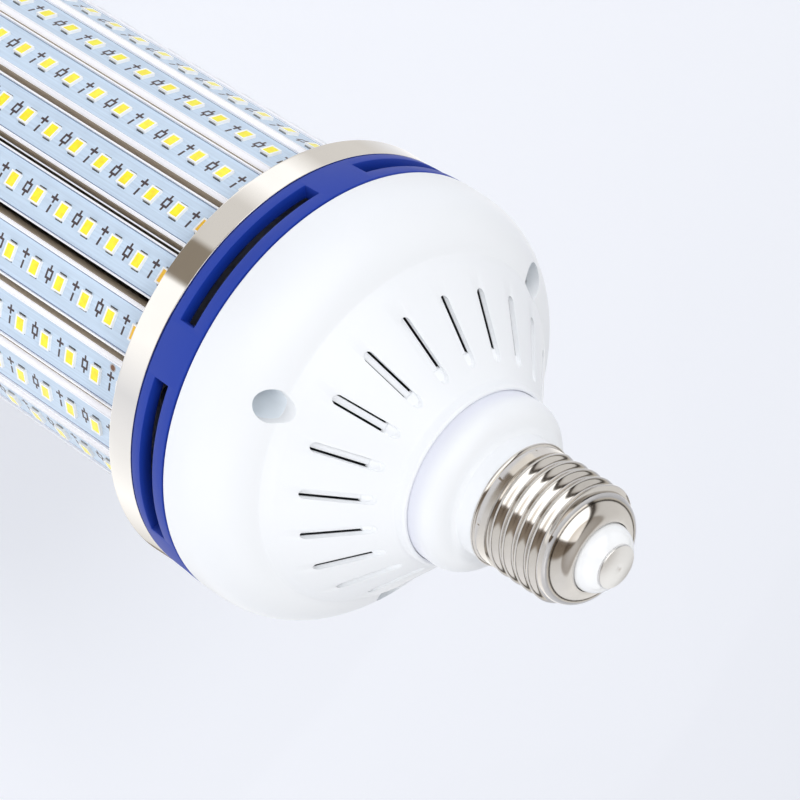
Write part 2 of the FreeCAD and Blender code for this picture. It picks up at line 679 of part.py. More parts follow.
# Housing
def add_housing():
    """The white shell: shoulder, raised cone with vents, mouth ring, wells and board posts."""
    hub = housing_radius - at.housing_draft - at.shoulder_round
    rise = at.shoulder_round * at.shoulder_round
    shoulder_top = at.shoulder_low + root(rise - (shoulder_end - hub) * (shoulder_end - hub))
    lip = ring_inner - at.spigot_clear
    block = doc.addObject("Sketcher::SketchObject", "housing_outside")
    outline(
        block,
        [
            (ZERO, housing_low),
            (lip, housing_low),
            (lip, at.ring_high),
            (housing_radius, at.ring_high),
            (housing_radius - at.housing_draft, at.shoulder_low),
            (shoulder_end, shoulder_top),
            (crease_radius, at.crease_height),
            (cone_radius, at.cone_height),
            (mouth_radius, at.cone_height + at.wall),
            (mouth_radius, at.mouth_height - at.mouth_wall),
            (collar_bore, at.mouth_height),
            (ZERO, at.mouth_height),
        ],
        {4: (at.shoulder_round, 1), 9: (at.mouth_wall, 1)},
    )
    inner_round = at.shoulder_round - at.wall
    inner_end = shoulder_end - at.wall
    inner_reach = (inner_end - hub) * (inner_end - hub)
    inner_top = at.shoulder_low + root(inner_round * inner_round - inner_reach)
    wall_in = housing_radius - at.housing_draft - at.wall
    floor = at.ring_high + at.spigot
    ledge = at.cone_height - at.wall
    lean = (crease_radius - cone_radius) / (at.cone_height - at.crease_height)
    under_cone = at.wall * (root(lean * lean + 1) - lean)
    cavity = doc.addObject("Sketcher::SketchObject", "housing_inside")
    outline(
        cavity,
        [
            (ZERO, housing_low - 1),
            (lip - at.spigot_wall, housing_low - 1),
            (lip - at.spigot_wall, floor),
            (wall_in, floor),
            (wall_in, at.shoulder_low),
            (inner_end, inner_top),
            (crease_radius - under_cone, at.crease_height - at.wall),
            (cone_radius - under_cone, ledge),
            (collar_bore, ledge),
            (collar_bore, at.mouth_height + 1),
            (ZERO, at.mouth_height + 1),
        ],
        {4: (inner_round, 1)},
    )
    solids = []
    for name, section in (("housing_block", block), ("housing_cavity", cavity)):
        section.Placement = Placement(Vector(), Rotation(Vector(1, 0, 0), 90))
        solid = doc.addObject("Part::Revolution", name)
        solid.Source = section
        solid.Axis = Vector(0, 0, 1)
        solid.Base = Vector()
        solid.Angle = 360
        solid.Solid = True
        solids.append(solid)
    kept = []
    for number in range(int(at.long_count.number)):
        tube = doc.addObject("Part::Cylinder", f"well_tube_{number + 1}")
        x, y = on_circle(long_circle, at.long_turn + number * 360 / at.long_count)
        bind(
            tube,
            {
                "Radius": at.long_well + at.well_wall,
                "Height": at.crease_height,
                "Placement.Base.x": x,
                "Placement.Base.y": y,
            },
        )
        kept.append(tube)
    between = at.vent_turn + 180 / at.vent_count
    for number in range(int(at.post_count.number)):
        x, y = on_circle(at.post_circle, between + number * 360 / at.post_count)
        for kind, radius, low, high in (
            ("post", at.post_radius, driver_top, at.cone_height),
            ("pin", at.post_pin, driver_height - at.pin_proud, at.cone_height),
        ):
            rod = doc.addObject("Part::Cylinder", f"board_{kind}_{number + 1}")
            bind(
                rod,
                {
                    "Radius": radius,
                    "Height": high - low,
                    "Placement.Base.x": x,
                    "Placement.Base.y": y,
                    "Placement.Base.z": low,
                },
            )
            kept.append(rod)
    standing = doc.addObject("Part::MultiFuse", "wells_and_posts")
    standing.Shapes = kept
    hollow = doc.addObject("Part::Cut", "housing_hollow")
    hollow.Base = solids[1]
    hollow.Tool = standing
    shell = doc.addObject("Part::Cut", "housing_shell")
    shell.Base = solids[0]
    shell.Tool = hollow
    doc.recompute()
    body = add_body("housing")
    body.BaseFeature = shell
    doc.recompute()
    well = add_sketch(body, "XY_Plane", at.mouth_height)
    x, y = on_circle(long_circle, at.long_turn)
    circle(well, at.long_well, x, y)
    well_cut = pocket(body, well, at.mouth_height - housing_low - at.well_floor)
    around(body, [well_cut], at.long_count)
    hole = add_sketch(body, "XY_Plane", at.mouth_height)
    circle(hole, at.long_shank + at.hole_clear, x, y)
    around(body, [pocket(body, hole, at.mouth_height)], at.long_count)
    half = at.vent_wide / 2
    inner = cone_radius + at.vent_head - half
    outer = crease_radius - at.vent_foot + half
    trough = add_sketch(body, "XZ_Plane")
    floors = [at.cone_height - (end - cone_radius) / lean - at.vent_deep for end in (inner, outer)]
    outline(
        trough,
        [(inner, floors[0]), (outer, floors[1]), (outer, at.mouth_height), (inner, at.mouth_height)],
    )
    trough.AttachmentOffset = Placement(Vector(), Rotation(Vector(0, 1, 0), at.vent_turn.number))
    bind(trough, {"AttachmentOffset.Rotation.Angle": at.vent_turn})
    trough_cut = pocket(body, trough, at.vent_wide)
    trough_cut.Midplane = True
    slit = add_sketch(body, "XY_Plane", at.mouth_height)
    side = half - at.slit_wide
    outline(slit, [(inner, side), (outer, side), (outer, half), (inner, half)])
    slit.AttachmentOffset = Placement(Vector(0, 0, 1), Rotation(Vector(0, 0, 1), 1))
    bind(slit, {"AttachmentOffset.Base.z": at.mouth_height})
    bind(slit, {"AttachmentOffset.Rotation.Angle": at.vent_turn})
    slit_cut = pocket(body, slit, at.mouth_height - driver_height)
    around(body, [trough_cut, slit_cut], at.vent_count)
    lift(body, line)
    pieces.append(body)


def add_long_screws():
    """The long screws that clamp housing and ring to the base plate."""
    head_low = housing_low.number + at.well_floor.number
    top = head_low + at.long_head_high.number
    head, shank, bevel = at.long_head.number, at.long_shank.number, at.screw_bevel.number
    foot = -at.plate_thick.number
    points = [(0, foot), (shank, foot), (shank, head_low), (head, head_low)]
    points += [(head, top - bevel), (head - bevel, top), (0, top)]
    solids = []
    for number in range(int(at.long_count.number)):
        turn = at.long_turn.number + number * 360 / at.long_count.number
        spot = Rotation(Vector(0, 0, 1), turn).multVec(Vector(long_circle.number, 0, 0))
        screw = turned(points)
        screw.Placement = Placement(spot, Rotation())
        solids.append(screw)
    add_feature("housing_screws", Part.Compound(solids), line)


# Fan
def add_fan_frame():
    """A square frame with a round duct, struts, a bearing tube and the motor's coils."""
    body = add_body("fan_frame")
    half = fan_half
    square = [
        (-half + at.fan_corner, -half),
        (half - at.fan_corner, -half),
        (half, -half + at.fan_corner),
        (half, half - at.fan_corner),
        (half - at.fan_corner, half),
        (-half + at.fan_corner, half),
        (-half, half - at.fan_corner),
        (-half, -half + at.fan_corner),
    ]
    bends = {side: (at.fan_corner, 1) for side in (1, 3, 5, 7)}
    duct = add_sketch(body, "XY_Plane")
    circle(duct, fan_half)
    pad(body, duct, at.fan_high)
    for low in (ZERO, at.fan_high - at.fan_flange):
        flange = add_sketch(body, "XY_Plane", low)
        outline(flange, square, bends)
        pad(body, flange, at.fan_flange)
    bore = add_sketch(body, "XY_Plane", at.fan_high)
    circle(bore, fan_bore)
    pocket(body, bore, at.fan_high * 2)
    middle = add_sketch(body, "XY_Plane")
    circle(middle, at.hub_radius)
    pad(body, middle, at.hub_low - at.hub_gap)
    strut = add_sketch(body, "XY_Plane")
    side = at.strut_wide / 2
    reach = fan_bore + at.duct_wall / 2
    outline(
        strut,
        [
            (at.stator_radius, -side),
            (reach, -side),
            (reach, side),
            (at.stator_radius, side),
        ],
    )
    around(body, [pad(body, strut, at.fan_flange)], size_of(4))
    stator = add_sketch(body, "XY_Plane")
    circle(stator, at.stator_radius)
    pad(body, stator, at.hub_low + at.hub_high - at.hub_wall - at.coil_gap)
    bearing = add_sketch(body, "XY_Plane", at.fan_high)
    circle(bearing, at.shaft_radius + at.shaft_clear)
    pocket(body, bearing, at.fan_high - at.bearing_floor)
    screw_hole = add_sketch(body, "XY_Plane", at.fan_high)
    circle(screw_hole, at.fan_screw + at.hole_clear, fan_holes, fan_holes)
    around(body, [pocket(body, screw_hole, at.fan_high * 2)], size_of(4))
    lift(body, line, at.fan_turn)
    pieces.append(body)


def blade():
    """One twisted blade, lofted from the hub to the tip."""
    sections = []
    thick = at.blade_thick.number
    middle = at.hub_low.number + at.hub_high.number / 2
    root_at = at.hub_radius.number - at.hub_wall.number
    for radius, slope, width in (
        (root_at, at.root_slope.number, at.root_width.number),
        (blade_tip.number, at.tip_slope.number, at.tip_width.number),
    ):
        tilt = Rotation(Vector(1, 0, 0), slope)
        points = []
        for across, up in ((-1, -1), (1, -1), (1, 1), (-1, 1)):
            corner = tilt.multVec(Vector(0, across * width / 2, up * thick / 2))
            points.append(corner + Vector(radius, 0, middle))
        sections.append(Part.makePolygon(points + points[:1]))
    return Part.makeLoft(sections, True, True)


def add_fan_wheel():
    """The fan wheel: hub cup, shaft and blades."""
    low, high = at.hub_low.number, at.hub_low.number + at.hub_high.number
    radius, wall, bevel = at.hub_radius.number, at.hub_wall.number, at.hub_bevel.number
    shaft, foot = at.shaft_radius.number, at.bearing_floor.number + at.shaft_end.number
    hub = turned(
        [
            (0, foot),
            (shaft, foot),
            (shaft, high - wall),
            (radius - wall, high - wall),
            (radius - wall, low),
            (radius, low),
            (radius, high - bevel),
            (radius - bevel, high),
            (0, high),
        ]
    )
    tip = Part.makeCylinder(blade_tip.number, at.fan_high.number)
    core = Part.makeCylinder(radius - wall / 2, at.fan_high.number)
    blades = []
    for number in range(int(at.blade_count.number)):
        one = blade()
        one.rotate(Vector(), Vector(0, 0, 1), number * 360 / at.blade_count.number)
        blades.append(one.common(tip).cut(core))
    add_feature("fan_impeller", hub.multiFuse(blades), line)


def add_fan_screws():
    """Four screws through the fan's corners into the base plate."""
    head, shank, seat = at.fan_screw_head.number, at.fan_screw.number, at.fan_high.number
    foot, top, bevel = -at.plate_thick.number, seat + at.fan_screw_high.number, at.screw_bevel.number
    points = [(0, foot), (shank, foot), (shank, seat), (head, seat)]
    points += [(head, top - bevel), (head - bevel, top), (0, top)]
    corner = Vector(fan_holes.number, fan_holes.number, 0)
    solids = []
    for number in range(4):
        turn = Rotation(Vector(0, 0, 1), at.fan_turn.number + number * 90)
        screw = turned(points)
        screw.Placement = Placement(turn.multVec(corner), turn)
        solids.append(screw)
    add_feature("fan_screws", Part.Compound(solids), line)


# Driver
def add_driver():
    """The round driver board on its posts, with a transformer and a capacitor."""
    board = add_body("driver_board")
    disc = add_sketch(board, "XY_Plane")
    circle(disc, driver_radius)
    pad(board, disc, at.driver_thick)
    pin = add_sketch(board, "XY_Plane", at.driver_thick)
    x, y = on_circle(at.post_circle, at.vent_turn + 180 / at.vent_count)
    circle(pin, at.post_pin + at.board_clear, x, y)
    around(board, [pocket(board, pin, at.driver_thick * 2)], at.post_count)
    lift(board, line + driver_height)
    pieces.append(board)
    top = line + driver_top
    middle = at.core_high.number / 2
    blocks = []
    for wide, long, high in (
        (at.core_wide.number, at.core_long.number, at.core_high.number),
        (at.bobbin_wide.number, at.bobbin_long.number, at.bobbin_high.number),
    ):
        corner = Vector(at.core_place.number - wide / 2, -long / 2, middle - high / 2)
        blocks.append(Part.makeBox(wide, long, high, corner))
    add_feature("transformer", blocks[0].fuse(blocks[1]), top)
    can, tall, bead = at.can_radius.number, can_high.number, at.can_bevel.number
    points = [(0, 0), (can, 0), (can, 4 * bead), (can - bead, 5 * bead), (can, 6 * bead)]
    points += [(can, tall - bead), (can - bead, tall), (0, tall)]
    add_feature("filter_capacitor", turned(points), top, *on_circle(at.can_place, at.can_turn))


def tube_along(points, bend, radius):
    """A round tube through points, each corner rounded by an arc that trims both runs."""
    edges = []
    start = points[0]
    for here, corner, there in zip(points, points[1:], points[2:]):
        back = (here - corner).normalize()
        ahead = (there - corner).normalize()
        first, last = corner + back * bend, corner + ahead * bend
        half = math.acos(max(-1, min(1, back.dot(ahead)))) / 2
        bisector = (back + ahead).normalize()
        centre = corner + bisector * (bend / math.cos(half))
        middle = centre - bisector * (bend * math.tan(half))
        edges.append(Part.LineSegment(start, first).toShape())
        edges.append(Part.Arc(first, middle, last).toShape())
        start = last
    edges.append(Part.LineSegment(start, points[-1]).toShape())
    path = Part.Wire(edges)
    ring = Part.Wire(Part.Circle(points[0], points[1] - points[0], radius).toShape())
    return path.makePipeShell([ring], True, False)


def add_leads():
    """Two leads from the driver board, to the centre contact and to the screw shell."""
    low = driver_top.number
    rim = at.cap_height.number
    radius, bend = at.lead_radius.number, at.lead_bend.number
    stem = rim + at.shell_taper.number - at.stem_down.number
    x, y = on_circle(at.contact_lead, at.contact_turn)
    to_contact = [
        Vector(x.number, y.number, low),
        Vector(x.number, y.number, rim - at.lead_rise.number),
        Vector(0, 0, rim + at.lead_centre.number),
        Vector(0, 0, stem),
    ]
    plug_bore = at.plug_radius - at.plug_wall
    x, y = on_circle(plug_bore - 2 * at.lead_radius, at.shell_turn)
    over = rim + at.plug_deep.number + at.skirt_high.number
    wall_x, wall_y = on_circle(at.root_radius - at.shell_wall - at.lead_radius, at.shell_turn)
    to_shell = [
        Vector(x.number, y.number, low),
        Vector(x.number, y.number, rim + at.plug_deep.number),
        Vector(wall_x.number, wall_y.number, over),
        Vector(wall_x.number, wall_y.number, over + at.skirt_high.number),
    ]
    tubes = [tube_along(route, bend, radius) for route in (to_contact, to_shell)]
    add_feature("supply_leads", Part.Compound(tubes), line)


# Collar and screw cap
def add_collar():
    """The collar: a cup in the housing's mouth with a rounded front, a neck and a plug."""
    body = add_body("cap_collar")
    sketch = add_sketch(body, "XZ_Plane")
    neck_top = at.cap_height
    plug_top = at.cap_height + at.plug_deep
    front = at.collar_front - at.collar_wall
    outline(
        sketch,
        [
            (at.collar_radius - at.collar_wall, at.collar_low),
            (at.collar_radius, at.collar_low),
            (at.collar_radius, at.collar_shoulder),
            (at.front_radius, at.collar_front),
            (at.neck_radius, at.collar_front + at.neck_ramp),
            (at.neck_radius, neck_top),
            (at.plug_radius, neck_top),
            (at.plug_radius, plug_top),
            (at.plug_radius - at.plug_wall, plug_top),
            (at.plug_radius - at.plug_wall, front),
            (at.collar_radius - at.collar_wall, at.collar_shoulder - at.collar_wall),
        ],
        {2: (at.front_round, 1)},
    )
    revolve(body, sketch)
    lift(body, line)
    pieces.append(body)


def add_shell():
    """The screw shell: rim, skirt, threaded length and rounded taper."""
    wall = at.shell_wall
    body = add_body("screw_shell")
    sketch = add_sketch(body, "XZ_Plane")
    outline(
        sketch,
        [
            (at.rim_radius, ZERO),
            (at.rim_radius, wall),
            (at.skirt_radius, wall * 2),
            (at.skirt_radius, at.skirt_high),
            (at.root_radius, at.skirt_high + at.skirt_step),
            (at.root_radius, at.shell_taper),
            (at.seat_radius, at.shell_top),
            (at.seat_radius, at.shell_top - wall),
            (at.root_radius - wall, at.shell_taper),
            (at.root_radius - wall, at.skirt_high + at.skirt_step),
            (at.skirt_radius - wall, at.skirt_high),
            (at.skirt_radius - wall, ZERO),
        ],
        {5: (at.taper_round, 1), 7: (at.taper_round - wall, -1)},
    )
    revolve(body, sketch)
    lift(body, cap_line)
    pieces.append(body)


def add_insulator():
    """The insulator that closes the shell round the centre contact."""
    body = add_body("cap_insulator")
    sketch = add_sketch(body, "XZ_Plane")
    hole = at.stem_radius + at.board_clear
    low = at.shell_taper - at.flange_high
    seat = at.seat_radius - at.board_clear
    grip = seat + at.insulator_grip
    outline(
        sketch,
        [
            (hole, low),
            (grip, low),
            (grip, at.shell_taper),
            (seat, at.shell_top - at.shell_wall * 4),
            (seat, at.shell_top),
            (at.contact_radius + at.contact_seat, at.insulator_top),
            (hole, at.insulator_top),
        ],
        {4: (at.seat_radius, 1)},
    )
    revolve(body, sketch)
    lift(body, cap_line)
    pieces.append(body)


def add_contact():
    """The domed centre contact with its stem."""
    body = add_body("centre_contact")
    sketch = add_sketch(body, "XZ_Plane")
    low = at.insulator_top
    edge = low + at.contact_edge
    top = edge + at.contact_dome
    foot = at.shell_taper - at.stem_down
    rise = at.contact_dome
    dome = (at.contact_radius * at.contact_radius + rise * rise) / (2 * rise)
    outline(
        sketch,
        [
            (ZERO, foot),
            (at.stem_radius, foot),
            (at.stem_radius, low),
            (at.contact_radius, low),
            (at.contact_radius, edge),
            (ZERO, top),
        ],
        {4: (dome, 1)},
    )
    revolve(body, sketch)
    lift(body, cap_line)
    pieces.append(body)


pieces = []
add_strips()
add_leds()
add_band("head_trim_band", at.band_lift, True)
add_band("base_trim_band", line - at.band_high, False)
add_plates()
add_plate_screws()
add_vent_ring()
add_housing()
add_long_screws()
add_fan_frame()
add_fan_wheel()
add_fan_screws()
add_driver()
add_leads()
add_collar()
add_shell()
add_insulator()
add_contact()
doc.recompute()

failed = [thing.Name for thing in doc.Objects if {"Invalid", "Error"} & set(thing.State)]
if failed:
    raise SystemExit(f"these objects failed: {failed}")
os.makedirs("parts", exist_ok=True)
for piece in pieces:
    shape = piece.Shape
    if shape.isNull() or not shape.isValid():
        raise SystemExit(f"{piece.Label} has no valid shape")
    print(f"{piece.Label}: {len(shape.Solids)} solids, {shape.Volume:.1f} mm3")
for piece in pieces:
    piece.Shape.exportStep(os.path.join("parts", f"{piece.Label}.step"))
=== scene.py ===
import math

import bpy
from mathutils import Matrix, Quaternion, Vector


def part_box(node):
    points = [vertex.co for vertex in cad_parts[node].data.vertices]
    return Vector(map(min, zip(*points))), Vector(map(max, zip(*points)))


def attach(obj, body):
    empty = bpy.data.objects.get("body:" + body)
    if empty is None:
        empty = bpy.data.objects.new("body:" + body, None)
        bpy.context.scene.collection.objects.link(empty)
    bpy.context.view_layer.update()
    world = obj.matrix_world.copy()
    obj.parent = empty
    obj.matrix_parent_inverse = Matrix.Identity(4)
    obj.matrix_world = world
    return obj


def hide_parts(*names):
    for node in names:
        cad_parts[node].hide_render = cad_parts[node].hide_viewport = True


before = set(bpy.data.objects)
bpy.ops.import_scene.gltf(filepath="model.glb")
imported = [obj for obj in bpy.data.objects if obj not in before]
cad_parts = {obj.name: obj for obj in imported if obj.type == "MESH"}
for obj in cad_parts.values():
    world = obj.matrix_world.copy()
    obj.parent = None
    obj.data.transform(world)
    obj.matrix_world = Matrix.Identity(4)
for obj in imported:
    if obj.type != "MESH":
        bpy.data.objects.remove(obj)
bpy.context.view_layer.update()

bl_info = {
    "name": "Corn LED Bulb",
    "version": (1, 0, 0),
    "blender": (4, 5, 0),
    "location": "View3D > Sidebar > Lamp",
    "description": "Models and finishes a corn LED bulb around its packed frame",
    "category": "Object",
}

# Lengths are millimetres. Heights in a profile count from the line, where the base's band meets
# the slotted ring, or from the screw shell's rim.
MM = 0.001
LAMP = "lamp"
FULL_TURN = 2 * math.pi
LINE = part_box("vent_ring")[0].z / MM
CAP_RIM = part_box("screw_shell")[0].z / MM
STRIPS = 20
STRIP_STEP = FULL_TURN / STRIPS
BOARD_FACE = -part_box("led_board_01")[0].y / MM
LIP_TOP = -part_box("heat_sink_bar_01")[0].y / MM
# How much of a side a rounding may take up at most
NEAR_HALF = 0.49
# The shell's threaded wall: radius, ends, rows of its mesh, and the height of the first crest
THREAD_ROOT, THREAD_LOW, THREAD_HIGH, THREAD_STEPS, THREAD_START = 12.1, 3.5, 18.0, 96, 5.7
LED_PITCH = 7.8
LED_COUNT = 20
LED_LONG, LED_WIDE, LED_HIGH = 3.5, 2.8, 0.7
LED_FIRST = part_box("led_packages")[0].z / MM + LED_WIDE / 2
# The strip that shows a copper pad, and the pad's place across and along it
PAD_STRIP, PAD_PLACE = 2, (-3.5, 157.0)
WELLS, WELL_CIRCLE, WELL_RADIUS = 3, 40.3, 3.4
WELL_TURNS = [math.radians(-76.5) + FULL_TURN * number / WELLS for number in range(WELLS)]
CONE_FOOT, CONE_TOP = (36.9, 30.1), (22.6, 43.9)
CONE_SLOPE = (CONE_TOP[1] - CONE_FOOT[1]) / (CONE_TOP[0] - CONE_FOOT[0])
RING_SLOTS = 6
# Vents: where the middles of the round ends lie, half a vent's width, then its rib's depth below
# the cone, width and thickness, and the depth and width of the pocket's floor
VENTS = 20
VENT_TURNS = [math.radians(-87) + FULL_TURN * number / VENTS for number in range(VENTS)]
VENT_INNER, VENT_OUTER, VENT_HALF = 23.6, 32.4, 1.1
RIB_DOWN, RIB_WIDE, RIB_THICK = 1.75, 1.35, 1.6
FLOOR_DOWN, FLOOR_WIDE = 1.35, 2.6


# Properties
def amount(name, description, default, unit="NONE"):
    """A number in the sidebar."""
    return bpy.props.FloatProperty(name=name, description=description, default=default, unit=unit)


def tint(name, description, default):
    """A colour in the sidebar."""
    return bpy.props.FloatVectorProperty(
        name=name, description=description, subtype="COLOR", default=default, min=0, max=1
    )


class LampSizes(bpy.types.PropertyGroup):
    """Sizes that a user would change."""

    turned_sides: bpy.props.IntProperty(
        name="Turned sides", description="Flat sides of a turned piece", default=160, min=24
    )
    vent_bevel: amount("Vent bevel", "Rounding of the vents' rims", 0.22 * MM, "LENGTH")
    thread_pitch: amount("Thread pitch", "Rise of one turn of the cap's thread", 3.34 * MM, "LENGTH")
    thread_turns: amount("Thread turns", "Turns of the cap's thread", 4.2)
    thread_depth: amount("Thread depth", "Height of the thread's ridge", 1.08 * MM, "LENGTH")
    sky_strength: amount("Sky strength", "Strength of the even light from all round", 0.69)
    key_power: amount("Key power", "Power of the key light", 5.2, "POWER")
    side_power: amount("Side light", "Power of the low lamp on the right", 4.4, "POWER")
    left_power: amount("Left light", "Power of the low lamp on the left", 1.6, "POWER")
    # Painted light: emission in the mouths of the vents, which are no lamp.
    vent_painted_glow: amount("Vent glow", "Light that the mouths of the vents are given", 0.05)
    # Painted light: emission on the upper walls of the narrow slots, standing in for light bounced into
    # them.
    slot_wall_painted_light: amount("Slot lift", "Light that the white walls of the narrow slots pass on", 0.24)
    floor_lift: amount("Floor lift", "How much paler the camera sees the floor", 0.1)


class LampColours(bpy.types.PropertyGroup):
    """Colours of the lamp's finishes."""

    housing: tint("Housing", "White plastic of housing and collar", (0.875, 0.89, 0.905))
    ring: tint("Ring", "Blue plastic of the slotted ring", (0.008, 0.042, 0.36))
    board: tint("Board", "Solder mask of the light boards", (0.61, 0.735, 0.87))
    bar: tint("Bar", "Powder coat of the heat sink bars", (0.95, 0.955, 0.98))
    phosphor: tint("Phosphor", "Yellow fill of the light packages", (1.0, 0.93, 0.004))
    nickel: tint("Nickel", "Plating of the screw shell", (0.72, 0.69, 0.65))
    floor: tint("Floor", "Pale floor", (0.89, 0.905, 0.945))


def sizes():
    """The lamp's sizes, as the sidebar has them."""
    return bpy.context.scene.lamp_sizes


def colours():
    """The lamp's colours, as the sidebar has them."""
    return bpy.context.scene.lamp_colours


# Modelling helpers
def deselect():
    """Leave edit mode and select nothing."""
    if bpy.context.mode != "OBJECT":
        bpy.ops.object.mode_set(mode="OBJECT")
    bpy.ops.object.select_all(action="DESELECT")
    bpy.context.view_layer.objects.active = None


def pick(piece):
    """Make one piece the selected and active one."""
    deselect()
    piece.select_set(True)
    bpy.context.view_layer.objects.active = piece


def pick_points(piece, wanted):
    """Open a piece in edit mode with the points selected whose place, in mm, is wanted."""
    pick(piece)
    bpy.ops.object.mode_set(mode="EDIT")
    bpy.ops.mesh.select_mode(type="VERT")
    bpy.ops.mesh.select_all(action="DESELECT")
    bpy.ops.object.mode_set(mode="OBJECT")
    for vertex in piece.data.vertices:
        vertex.select = wanted(vertex.co / MM)
    bpy.ops.object.mode_set(mode="EDIT")


def open_all(piece):
    """Open a piece in edit mode with all of it selected."""
    pick(piece)
    bpy.ops.object.mode_set(mode="EDIT")
    bpy.ops.mesh.select_all(action="SELECT")


def close_outward():
    """Turn all faces of the piece in edit mode outwards and leave edit mode."""
    bpy.ops.mesh.select_all(action="SELECT")
    bpy.ops.mesh.normals_make_consistent(inside=False)
    bpy.ops.object.mode_set(mode="OBJECT")


def settle(piece):
    """Bake a piece's place, turn and scale into its mesh."""
    pick(piece)
    bpy.ops.object.transform_apply(location=True, rotation=True, scale=True)


def add_shape(add, spot, scale=(1, 1, 1), turn=(0, 0, 0), **settings):
    """Add a mesh with one of Blender's add operators at a place in mm, and bake in scale and turn."""
    deselect()
    add(location=Vector(spot) * MM, **settings)
    piece = bpy.context.active_object
    piece.scale = scale
    piece.rotation_euler = turn
    settle(piece)
    return piece


def apply_modifiers(piece):
    """Apply every modifier of a piece, in order."""
    pick(piece)
    for modifier in list(piece.modifiers):
        bpy.ops.object.modifier_apply(modifier=modifier.name)


def smooth(piece, angle=32):
    """Shade a piece smooth, with its sharper edges kept."""
    pick(piece)
    bpy.ops.object.shade_smooth_by_angle(angle=math.radians(angle))


def cone_height(radius):
    """Height of the cone's face above the head face, at a distance from the axis."""
    return CONE_TOP[1] + CONE_SLOPE * (radius - CONE_TOP[0]) + LINE


def bend_between(start, end, bulge, steps=8):
    """Points of a circular arc from start to end whose middle stands off by bulge."""
    start, end = Vector(start), Vector(end)
    chord = end - start
    side = Vector((chord.y, -chord.x)).normalized()
    half = chord.length / 2
    radius = (half * half + bulge * bulge) / (2 * abs(bulge))
    centre = (start + end) / 2 + side * (bulge - math.copysign(radius, bulge))
    first = math.atan2(start.y - centre.y, start.x - centre.x)
    sweep = math.remainder(math.atan2(end.y - centre.y, end.x - centre.x) - first, FULL_TURN)
    angles = [first + sweep * step / steps for step in range(1, steps)]
    return [(centre.x + radius * math.cos(a), centre.y + radius * math.sin(a)) for a in angles]


def rounded(corners, steps):
    """A profile of (radius, height, rounding) corners with its corners rounded."""
    points = []
    count = len(corners)
    for number, (x, y, round_by) in enumerate(corners):
        here = Vector((x, y))
        if not round_by:
            points.append((x, y))
            continue
        back = Vector(corners[number - 1][:2]) - here
        ahead = Vector(corners[(number + 1) % count][:2]) - here
        half = back.angle(ahead) / 2
        reach = min(round_by / math.tan(half), back.length * NEAR_HALF, ahead.length * NEAR_HALF)
        radius = reach * math.tan(half)
        centre = here + (back.normalized() + ahead.normalized()).normalized() * (radius / math.sin(half))
        begin = here + back.normalized() * reach - centre
        finish = here + ahead.normalized() * reach - centre
        first = math.atan2(begin.y, begin.x)
        sweep = math.remainder(math.atan2(finish.y, finish.x) - first, FULL_TURN)
        for step in range(steps + 1):
            angle = first + sweep * step / steps
            points.append((centre.x + radius * math.cos(angle), centre.y + radius * math.sin(angle)))
    return points


def turn_profile(name, points, base=LINE, sides=None):
    """Draw a (radius, height over the base) profile point by point and spin it round the axis."""
    places = [Vector((radius, 0, height + base)) * MM for radius, height in points]
    piece = add_shape(bpy.ops.mesh.primitive_plane_add, places[0] / MM, size=MM)
    piece.name = name
    open_all(piece)
    bpy.ops.mesh.merge(type="CENTER")
    for here, there in zip(places, places[1:] + places[:1]):
        bpy.ops.mesh.extrude_region_move(TRANSFORM_OT_translate={"value": there - here})
    bpy.ops.mesh.select_all(action="SELECT")
    bpy.ops.mesh.remove_doubles(threshold=1e-7)
    bpy.ops.mesh.spin(
        steps=sides or sizes().turned_sides, angle=FULL_TURN, center=(0, 0, 0), axis=(0, 0, 1)
    )
    bpy.ops.mesh.select_all(action="SELECT")
    bpy.ops.mesh.remove_doubles(threshold=1e-6)
    close_outward()
    return piece


def cut_away(piece, cutter, operation="DIFFERENCE"):
    """Cut one piece out of another, or keep only what both share, and remove the cutter."""
    cut = piece.modifiers.new("cut", "BOOLEAN")
    cut.operation = operation
    cut.solver = "EXACT"
    cut.object = cutter
    apply_modifiers(piece)
    mesh = cutter.data
    bpy.data.objects.remove(cutter)
    bpy.data.meshes.remove(mesh)


def soften(piece, width, angle=35):
    """Round a piece's sharp edges with an applied bevel."""
    bevel = piece.modifiers.new("bevel", "BEVEL")
    bevel.width = width
    bevel.segments = 2
    bevel.limit_method = "ANGLE"
    bevel.angle_limit = math.radians(angle)
    apply_modifiers(piece)


def join_all(pieces, name):
    """Join pieces into the first one."""
    deselect()
    for piece in pieces:
        piece.select_set(True)
    bpy.context.view_layer.objects.active = pieces[0]
    bpy.ops.object.join()
    pieces[0].name = name
    return pieces[0]


def copy_turned(piece, name, angle, spot=(0, 0, 0)):
    """A copy with a mesh of its own, moved and then turned about the lamp's axis."""
    pick(piece)
    bpy.ops.object.duplicate(linked=False)
    twin = bpy.context.active_object
    twin.name = name
    twin.matrix_world = Matrix.Rotation(angle, 4, "Z") @ Matrix.Translation(spot) @ twin.matrix_world
    settle(twin)
    return twin


def repeat_round(piece, name, angles, spot=(0, 0, 0)):
    """Replace a piece by its turned copies, joined."""
    copies = [copy_turned(piece, f"{name}_{number}", angle, spot) for number, angle in enumerate(angles)]
    bpy.data.objects.remove(piece)
    return join_all(copies, name)


def finish_piece(piece, material, slot, *nodes):
    """Give a piece its material and its body, and hide the nodes that it stands for; the slot is not used.
    """
    if not piece.data.polygons:
        raise RuntimeError(f"{piece.name} has no faces")
    if material is not None:
        piece.data.materials.clear()
        piece.data.materials.append(material)
    if nodes:
        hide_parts(*nodes)
    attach(piece, LAMP)


def dress(node, material):
    """Give a carried-over node of the frame its material."""
    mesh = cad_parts[node].data
    mesh.materials.clear()
    mesh.materials.append(material)


